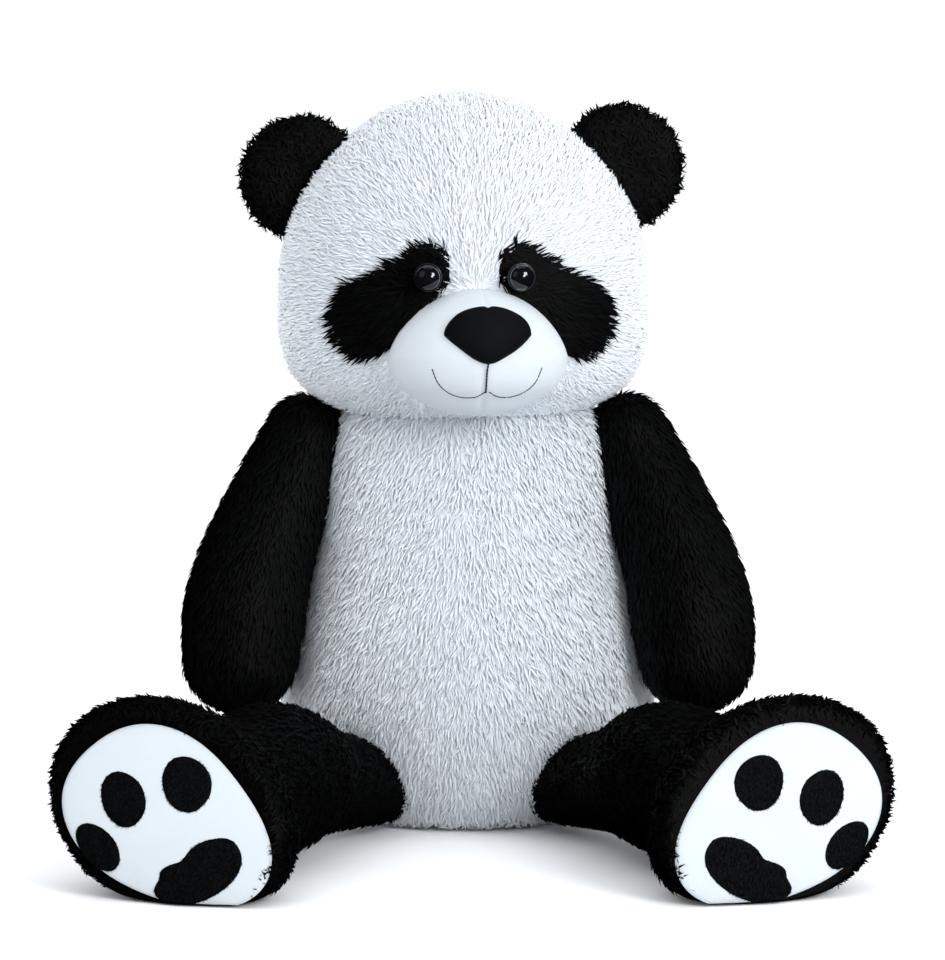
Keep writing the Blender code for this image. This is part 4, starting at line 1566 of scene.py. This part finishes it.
@dataclass
class Eye:
    """A domed eye: polished black dome in a thin navy rim, and the washer behind it."""

    side: Side
    radius: float = 0.0122
    height: float = 0.0085
    flange: float = 0.0016

    def build(self, head: Head, dresser: Dresser) -> None:
        """Makes the dome and the rim where the frame's eye sits, and finishes the washer.

        Args:
            head: the head that they ride with.
            dresser: what dresses each piece.
        """
        name = self.side.word
        low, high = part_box(f"eye_{name}")
        turned = HEAD_PLACE.to_3x3()
        facing = (turned @ self.side.across((0.13, -0.98, -0.06))).normalized()
        front = Vector(((low.x + high.x) / 2, low.y, (low.z + high.z) / 2))
        seat = front - facing * (self.height + self.flange) - Vector((0.0035, 0.0, 0.0))
        frame = Matrix.Translation(seat) @ facing.to_track_quat("Z", "Y").to_matrix().to_4x4()
        dome = bmesh.new()
        steps = 14
        profile = [Vector((self.radius * 0.9, 0, -0.004)), Vector((self.radius * 0.96, 0, self.flange * 0.5))]
        for k in range(steps + 1):
            angle = math.pi / 2 * k / steps
            rise = self.flange + self.height * math.sin(angle) ** 0.92
            profile.append(Vector((self.radius * 0.93 * math.cos(angle), 0, rise)))
        self.turn(dome, profile)
        bmesh.ops.transform(dome, matrix=frame, verts=dome.verts)
        obj = add_object(f"eye_dome_{name}", dome)
        dresser.dress(obj, EYE_BLACK, "head", [f"eye_{name}"])
        rim = bmesh.new()
        profile = [Vector((0.0, 0, -0.0035)), Vector((self.radius * 0.99, 0, -0.0035))]
        for k in range(7):
            angle = math.pi * k / 6
            across = self.radius * 0.985 + 0.0007 * math.sin(angle)
            profile.append(Vector((across, 0, self.flange * 0.4 - 0.0007 * math.cos(angle))))
        profile.append(Vector((self.radius * 0.90, 0, self.flange * 0.4 + 0.0003)))
        profile.append(Vector((0.0, 0, self.flange * 0.4)))
        self.turn(rim, profile)
        bmesh.ops.transform(rim, matrix=frame, verts=rim.verts)
        obj = add_object(f"eye_rim_{name}", rim)
        dresser.dress(obj, EYE_RIM, "head", [f"eye_{name}"])
        WASHER.wear(bpy.data.objects[f"eye_washer_{name}"])

    @staticmethod
    def turn(bm: bmesh.types.BMesh, profile: Sequence[Vector]) -> None:
        """Spins a profile once round Z into a closed skin.

        Args:
            bm: the bmesh that it is made in.
            profile: points from the bottom to the top.
        """
        verts = [bm.verts.new(point) for point in profile]
        edges = [bm.edges.new(pair) for pair in zip(verts, verts[1:])]
        bmesh.ops.spin(
            bm, geom=verts + edges, cent=(0, 0, 0), axis=(0, 0, 1), angle=math.tau, steps=40, use_merge=True
        )
        bmesh.ops.remove_doubles(bm, verts=bm.verts, dist=1e-5)
        holes = [e for e in bm.edges if e.is_boundary]
        if holes:
            bmesh.ops.edgeloop_fill(bm, edges=holes)
        bmesh.ops.recalc_face_normals(bm, faces=bm.faces)


@dataclass
class Ear:
    """A thick round black ear sewn along the head's side seam."""

    side: Side
    middle: tuple[float, float, float] = (0.150, 0.012, 0.602)
    tilt: float = math.radians(38)
    half: tuple[float, float, float] = (0.061, 0.021, 0.058)
    backing: float = 0.007
    droop: float = 0.010

    def frame(self) -> Matrix:
        """Ear coordinates.

        Returns:
            A matrix with x along the head's seam, y back and z away from the head.
        """
        turn = Matrix.Rotation(self.tilt * self.side.value, 4, "Y")
        droop = Vector((0.0, 0.0, self.droop if self.side is Side.RIGHT else 0.0))
        return Matrix.Translation(self.side.across(self.middle) - droop) @ turn

    def build(self, dresser: Dresser) -> None:
        """Makes the ear's skin, hollowed a little in front, and its pile.

        Args:
            dresser: what dresses each piece.
        """
        name = self.side.word
        bm = bmesh.new()
        bmesh.ops.create_uvsphere(bm, u_segments=48, v_segments=32, radius=1.0)
        bmesh.ops.rotate(bm, matrix=Matrix.Rotation(math.pi / 2, 3, "X"), verts=bm.verts)
        for vert in bm.verts:
            x, y, z = vert.co
            dish = 0.35 * math.exp(-(x * x + z * z) / 0.3) if y < 0 else 0.0
            full = math.copysign(abs(y) ** 0.8, y) + dish
            root = max(0.0, -z)
            vert.co = Vector((x * (1 + 0.18 * root), full, z))
        bmesh.ops.scale(bm, vec=[h - self.backing * 0.9 for h in self.half], verts=bm.verts)
        place = HEAD_PLACE @ self.frame()
        bmesh.ops.transform(bm, matrix=place, verts=bm.verts)
        bmesh.ops.recalc_face_normals(bm, faces=bm.faces)
        cover = add_object(f"ear_cover_{name}", bm)
        root = np.array(place @ Vector((0, 0, -0.045)))
        back_way = np.array(place.to_3x3() @ Vector((0, 1, 0)))
        middle = np.array(place.translation)
        out_way = np.array(place.to_3x3() @ Vector((0, 0, 1)))

        def comb(places: Array, normals: Array) -> Array:
            """Out from the ear's root."""
            return places - root

        for label, sign in (("front", -1), ("back", 1)):

            def region(places: Array, normals: Array, sign: int = sign) -> Array:
                """One face of the ear."""
                inside = ((places - middle) @ back_way) * sign > 0
                return inside & ((places - middle) @ out_way > -0.045)

            seed = 301 + 2 * self.side.value + sign
            pile = EAR_PILE.grow(f"ear_{label}_pile_{name}", cover, region, comb, seed)
            dresser.dress(pile, COAL, f"ear_{name}", [f"ear_{label}_{name}"])
        replaced = [f"ear_{p}_{name}" for p in ("front", "back", "stuffing")]
        dresser.dress(cover, COAL, f"ear_{name}", replaced)


@dataclass
class Arm:
    """A plump black arm that hangs from the shoulder."""

    side: Side
    path: tuple[Row, ...] = (
        (0.149, -0.012, 0.354, 0.045),
        (0.160, -0.018, 0.327, 0.050),
        (0.175, -0.034, 0.289, 0.055),
        (0.194, -0.056, 0.242, 0.059),
        (0.204, -0.076, 0.198, 0.063),
        (0.208, -0.088, 0.158, 0.060),
    )
    backing: float = 0.009
    voxel: float = 0.005

    def build(self, dresser: Dresser) -> None:
        """Makes the arm's skin and the pile of its two panels.

        Args:
            dresser: what dresses each piece.
        """
        name = self.side.word
        cover = add_object(f"arm_cover_{name}", limb_form(self.path, self.side))
        relaxed(remeshed(cover, self.voxel), 3)
        pulled_in(cover, self.backing)
        start, end = (self.side.across(p[:3]) for p in (self.path[0], self.path[-1]))
        lean = (end - start).normalized()
        out = Vector((self.side.value, 0, 0)) - lean * lean.x * self.side.value
        out_way = np.array(out.normalized())
        middle = np.array((start + end) / 2)

        def comb(places: Array, normals: Array) -> Array:
            """Down the arm.

            Args:
                places: points of the skin.
                normals: which way they face.

            Returns:
                The way the pile is combed at each point.
            """
            way = rows_of(lean, len(places))
            way[:, 2] -= 0.2
            return way

        for number, (label, sign) in enumerate((("outer", 1), ("inner", -1))):

            def region(places: Array, normals: Array, sign: int = sign) -> Array:
                """The outer or the inner panel."""
                return ((places - middle) @ out_way) * sign > 0

            seed = 401 + 2 * self.side.value + 7 * number
            pile = BLACK_PILE.grow(f"arm_{label}_pile_{name}", cover, region, comb, seed)
            dresser.dress(pile, COAL, f"arm_{name}", [f"arm_{label}_panel_{name}"])
        replaced = [f"arm_{p}_{name}" for p in ("outer_panel", "inner_panel", "stuffing")]
        dresser.dress(cover, COAL, f"arm_{name}", replaced)


@dataclass
class Leg:
    """A leg that lies on the floor and ends in a big foot with a white sole."""

    side: Side
    path: tuple[Row, ...] = (
        (0.088, -0.110, 0.043, 0.047),
        (0.131, -0.172, 0.058, 0.054),
        (0.169, -0.236, 0.073, 0.073),
        (0.207, -0.315, 0.072, 0.072),
    )
    foot_middle: tuple[float, float, float] = (0.261, -0.404, 0.074)
    facing: tuple[float, float, float] = (0.26, -0.95, 0.17)
    toes: tuple[float, float, float] = (0.87, 0.0, 0.49)
    foot_half: tuple[float, float] = (0.094, 0.119)
    foot_rise: float = 0.005
    foot_rows: tuple[Row, ...] = (
        (0.108, 0.50),
        (0.094, 0.76),
        (0.070, 0.92),
        (0.045, 1.00),
        (0.022, 1.01),
        (0.008, 0.97),
        (0.001, 0.90),
    )
    sole_half: tuple[float, float] = (0.0720, 0.0985)
    sole_crown: float = 0.007
    backing: float = 0.009
    voxel: float = 0.005
    pads_turn: float = math.radians(12)
    toe_pads: dict[str, tuple] = field(
        default_factory=lambda: {
            "inner": ((0.0210, 0.0242), (0.0350, 0.0000), math.radians(22)),
            "middle": ((0.0197, 0.0245), (-0.0110, 0.0320), math.radians(22)),
            "outer": ((0.0150, 0.0240), (-0.0560, 0.0225), math.radians(2)),
        }
    )
    heel_pad: tuple = ((0.0410, 0.0230), (-0.0130, -0.0560), math.radians(24))

    def axes(self) -> tuple[Vector, Vector, Vector]:
        """The foot's own ways.

        Returns:
            The way the sole faces, the way the toes point, and the way up across the foot.
        """
        facing = self.side.across(self.facing).normalized()
        toes = self.side.across(self.toes)
        toes = (toes - facing * facing.dot(toes)).normalized()
        return facing, toes, facing.cross(toes) * self.side.value

    def frame(self) -> Matrix:
        """Foot coordinates.

        Returns:
            A matrix with x up across the sole, y toward the toes and z out of the sole.
        """
        facing, toes, across = self.axes()
        frame = Matrix((across, toes, facing)).transposed().to_4x4()
        frame.translation = self.side.across(self.foot_middle)
        return frame

    def build(self, dresser: Dresser) -> None:
        """Makes the leg's skin, its pile, the sole and the pads.

        Args:
            dresser: what dresses each piece.
        """
        name = self.side.word
        facing, toes, across = self.axes()
        frame = self.frame()
        rings = []
        for depth, share in self.foot_rows:
            spot = frame @ Vector((self.foot_rise, 0.0, -depth))
            rings.append(ring(spot, facing, across, self.foot_half[0] * share, self.foot_half[1] * share))
        cover = add_object(f"leg_cover_{name}", loft(rings, 48, limb_form(self.path, self.side)))
        relaxed(remeshed(cover, self.voxel), 4)
        pulled_in(cover, self.backing)
        rest(cover)
        inverse = np.array(frame.inverted())
        shaft = (self.side.across(self.path[-1][:3]) - self.side.across(self.path[0][:3])).normalized()

        def inside_sole(places: Array) -> Array:
            """How far out from the sole's middle each point is.

            Args:
                places: points of the skin.

            Returns:
                A share of the sole's half sizes, 1 at its rim.
            """
            local = places @ inverse[:3, :3].T + inverse[:3, 3]
            rim = np.hypot(local[:, 0] / self.sole_half[0], local[:, 1] / self.sole_half[1])
            return np.where(local[:, 2] > -0.03, rim, 2.0)

        def comb(places: Array, normals: Array) -> Array:
            """Down the leg, and out over the rim of the sole.

            Args:
                places: points of the skin.
                normals: which way they face.

            Returns:
                The way the pile is combed at each point.
            """
            way = rows_of(shaft, len(places))
            local = places @ inverse[:3, :3].T + inverse[:3, 3]
            at_rim = smooth_step(local[:, 2], -0.05, -0.005)[:, None]
            radial = places - np.array(frame.translation)
            radial /= np.linalg.norm(radial, axis=1, keepdims=True) + 1e-9
            way = way * (1 - at_rim) + (radial * 0.25 + np.array(facing)) * at_rim
            way[:, 2] -= 0.15
            return way

        for number, (label, upper) in enumerate((("upper", True), ("under", False))):

            def region(places: Array, normals: Array, upper: bool = upper) -> Array:
                """Where one panel's pile grows.

                Args:
                    places: points of the skin.
                    normals: which way they face.
                    upper: whether it is the upper panel.

                Returns:
                    1 on the panel, 0 off it and on the sole.
                """
                half = (places[:, 2] > 0.060) == upper
                bottom = (normals[:, 2] < -0.75) & (places[:, 2] < 0.010)
                return half * smooth_step(inside_sole(places), 0.94, 1.0) * ~bottom

            def length(places: Array, normals: Array) -> Array:
                """How long the pile is: shorter by the sole and by the floor."""
                rim = smooth_step(inside_sole(places), 0.98, 1.16)
                return (0.50 + 0.50 * rim) * (0.55 + 0.45 * smooth_step(places[:, 2], 0.004, 0.030))

            seed = 501 + 2 * self.side.value + 7 * number
            pile = BLACK_PILE.grow(f"leg_{label}_pile_{name}", cover, region, comb, seed, length)
            dresser.dress(pile, COAL, f"leg_{name}", [f"leg_{label}_panel_{name}"])
        replaced = [f"leg_{p}_{name}" for p in ("upper_panel", "under_panel", "stuffing")]
        dresser.dress(cover, COAL, f"leg_{name}", replaced)
        self.build_sole(dresser)

    def plate(
        self,
        outline: Callable[[float], float],
        half: tuple[float, float],
        middle: tuple[float, float],
        lift: float,
        thick: float,
        turn: float,
        lean: float = 0.0,
        segments: int = 64,
    ) -> bmesh.types.BMesh:
        """A padded plate laid on the crowned sole.

        Args:
            outline: the plate's reach at an angle, as a share of its half sizes.
            half: half width across and half length toward the toes.
            middle: where it lies, across and toward the toes.
            lift: how far its underside is above the sole's plane.
            thick: how much it bulges.
            turn: how far it is turned about the sole's middle.
            lean: how far it is turned about its own middle.
            segments: points round its edge.

        Returns:
            The closed plate.
        """
        bm = bmesh.new()
        bmesh.ops.create_circle(bm, cap_ends=True, segments=segments, radius=1.0)
        inner = bm.faces[:]
        for thickness in (0.04, 0.08, 0.16, 0.22, 0.26):
            bmesh.ops.inset_region(
                bm, faces=inner, thickness=thickness, use_boundary=True, use_even_offset=True
            )
            inner = [f for f in bm.faces if len(f.verts) == segments]
        bmesh.ops.poke(bm, faces=inner)
        grown = bmesh.ops.extrude_face_region(bm, geom=bm.faces[:])["geom"]
        raised = {item for item in grown if isinstance(item, bmesh.types.BMVert)}
        spin = Matrix.Rotation(-turn, 2)
        for vert in bm.verts:
            x, y = vert.co.x, vert.co.y
            reach = min(math.hypot(x, y), 1.0)
            grow = outline(math.atan2(y, x))
            place = Vector((x * grow * half[0], y * grow * half[1]))
            place.rotate(Matrix.Rotation(-lean, 2))
            place = place + Vector(middle)
            place.rotate(spin)
            dome = 1 - (place.x / self.sole_half[0]) ** 2 - (place.y / self.sole_half[1]) ** 2
            rise = lift + self.sole_crown * max(dome, -0.15)
            if vert in raised:
                rise += thick * (1 - reach**4) ** 0.5 if reach < 1 else 0.0002
            vert.co = Vector((place.x, place.y, rise))
        bmesh.ops.transform(bm, matrix=self.frame(), verts=bm.verts)
        bmesh.ops.recalc_face_normals(bm, faces=bm.faces)
        return bm

    def build_sole(self, dresser: Dresser) -> None:
        """The white sole, three toe pads and the heel pad.

        Args:
            dresser: what dresses each piece.
        """
        name = self.side.word

        def oval(angle: float) -> float:
            """A toe pad's reach at an angle."""
            return 1.0 + 0.02 * math.cos(3 * angle + 0.6)

        def instep(angle: float) -> float:
            """The sole's reach at an angle."""
            wide = 0.955 - 0.068 * math.cos(angle) - 0.044 * math.sin(angle) - 0.02 * math.cos(2 * angle)
            return wide + 0.05 * math.sin(3 * angle) + 0.024 * math.cos(3 * angle)

        def kidney(angle: float) -> float:
            """The heel pad's reach at an angle.

            Args:
                angle: the angle round the pad, in radians.

            Returns:
                A share of its half sizes.
            """
            top = 0.32 * math.exp(-(((angle - 1.86) / 0.40) ** 2))
            lobe = 0.13 * math.exp(-(((angle - 0.75) / 0.50) ** 2))
            heel = 0.13 * math.exp(-(((angle - 2.70) / 0.25) ** 2))
            return 1.0 - top + lobe - heel

        plate = self.plate(instep, self.sole_half, (0.0045, 0), -0.0085, 0.003, 0.0, segments=96)
        self.build_plate(f"sole_velour_{name}", plate, f"sole_{name}", VELOUR, None, 601, dresser)
        for number, (label, (half, middle, lean)) in enumerate(self.toe_pads.items()):
            plate = self.plate(oval, half, middle, -0.0060, 0.0012, self.pads_turn, lean)
            node = f"toe_pad_{label}_{name}"
            felt = f"toe_pad_felt_{label}_{name}"
            self.build_plate(felt, plate, node, PAD_FELT, FELT_NAP, 611 + number, dresser)
        half, middle, lean = self.heel_pad
        plate = self.plate(kidney, half, middle, -0.0060, 0.0012, self.pads_turn, lean, 96)
        self.build_plate(f"heel_pad_felt_{name}", plate, f"heel_pad_{name}", PAD_FELT, FELT_NAP, 621, dresser)

    def build_plate(
        self,
        name: str,
        plate: bmesh.types.BMesh,
        node: str,
        finish: Finish,
        nap: Optional[Finish],
        seed: int,
        dresser: Dresser,
    ) -> None:
        """Dresses one plate of the sole, and the short nap on its face if it stands up.

        Args:
            name: the plate's name.
            plate: its form.
            node: the frame's node that it stands for.
            finish: what its cloth is.
            nap: what its standing nap is, or None for a smooth one.
            seed: what the nap's scatter starts from.
            dresser: what dresses it.
        """
        body = f"leg_{self.side.word}"
        pad = add_object(name, plate)
        Pile.lift_off_floor(pad, 0.0030)
        out = np.array(self.axes()[0])

        def face(places: Array, normals: Array) -> Array:
            """The plate's upper face."""
            return normals @ out > 0.25

        def comb(places: Array, normals: Array) -> Array:
            """Downwards and a little out."""
            return rows_of((0.3 * self.side.value, 0, -1), len(places))

        if nap:
            fuzz = SHORT_NAP.grow(f"{name}_nap", pad, face, comb, seed + self.side.value)
            dresser.dress(fuzz, nap, body, [node])
        dresser.dress(pad, finish, body, [node])


@dataclass
class Studio:
    """A wide pale floor, soft lights and the camera."""

    eye: tuple[float, float, float] = (-0.0425, -3.4806, 0.6958)
    aim: tuple[float, float, float] = (0.0050, 0.0, 0.3092)
    lens: float = 141.1

    def build(self) -> None:
        """Makes the floor, the lights, the sky and the camera."""
        self.build_floor()
        self.add_light("key", (1.9, -2.7, 1.6), (0, 0, 0.28), 1.2, 74.0, (0.97, 0.985, 1.0))
        self.add_light("fill", (-2.2, -2.0, 1.5), (0, 0, 0.3), 2.2, 6.0, (0.93, 0.96, 1.0))
        self.add_light("top", (0.0, 0.3, 3.0), (0, 0, 0.3), 2.5, 12.0, (1.0, 1.0, 1.0))
        spark = self.add_light("spark", (1.45, -3.1, 0.80), (0, 0, 0.5), 0.7, 30.0, (1.0, 1.0, 1.0))
        spark.visible_diffuse = False
        world = bpy.data.worlds.new("studio_air")
        bpy.context.scene.world = world
        world.use_nodes = True
        sky = world.node_tree.nodes["Background"]
        sky.inputs[0].default_value = (0.96, 0.975, 1.0, 1.0)
        sky.inputs[1].default_value = 1.30
        world.cycles_visibility.glossy = False
        self.add_camera()
        scene = bpy.context.scene
        scene.view_settings.view_transform = "Standard"
        scene.view_settings.look = "None"

    def build_floor(self) -> None:
        """One wide flat sheet."""
        bm = bmesh.new()
        bmesh.ops.create_grid(bm, x_segments=4, y_segments=4, size=60.0)
        floor = add_object("studio_floor", bm)
        floor.data.materials.append(FLOOR.material())
        floor.visible_glossy = False

    def add_light(
        self,
        name: str,
        place: Sequence[float],
        aim: Sequence[float],
        size: float,
        power: float,
        colour: Sequence[float],
    ) -> bpy.types.Object:
        """A soft square light.

        Args:
            name: its name.
            place: where it stands.
            aim: where it points.
            size: its side, in metres.
            power: its power, in watts.
            colour: its colour.

        Returns:
            The light.
        """
        data = bpy.data.lights.new(name, "AREA")
        data.size = size
        data.energy = power
        data.color = colour
        light = bpy.data.objects.new(name, data)
        light.location = place
        way = Vector(aim) - Vector(place)
        light.rotation_euler = way.to_track_quat("-Z", "Y").to_euler()
        bpy.context.scene.collection.objects.link(light)
        return light

    def add_camera(self) -> None:
        """A long lens a little above the toy, straight in front."""
        data = bpy.data.cameras.new("camera")
        data.lens = self.lens
        data.sensor_width = 36.0
        data.clip_end = 200.0
        camera = bpy.data.objects.new("camera", data)
        camera.location = self.eye
        way = Vector(self.aim) - Vector(self.eye)
        camera.rotation_euler = way.to_track_quat("-Z", "Y").to_euler()
        bpy.context.scene.collection.objects.link(camera)
        bpy.context.scene.camera = camera


def main() -> None:
    """Dresses the whole toy in order and reports each piece."""
    logging.basicConfig(level=logging.INFO, format="%(name)s: %(message)s", stream=sys.stdout)
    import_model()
    Studio().build()
    dresser = Dresser()
    Torso().build(dresser)
    Head().build(dresser)
    for side in Side:
        Ear(side).build(dresser)
        Arm(side).build(dresser)
        Leg(side).build(dresser)
    LOG.info("whole toy: %d triangles", dresser.triangles)
    bpy.context.view_layer.update()


if __name__ == "__main__":
    main()
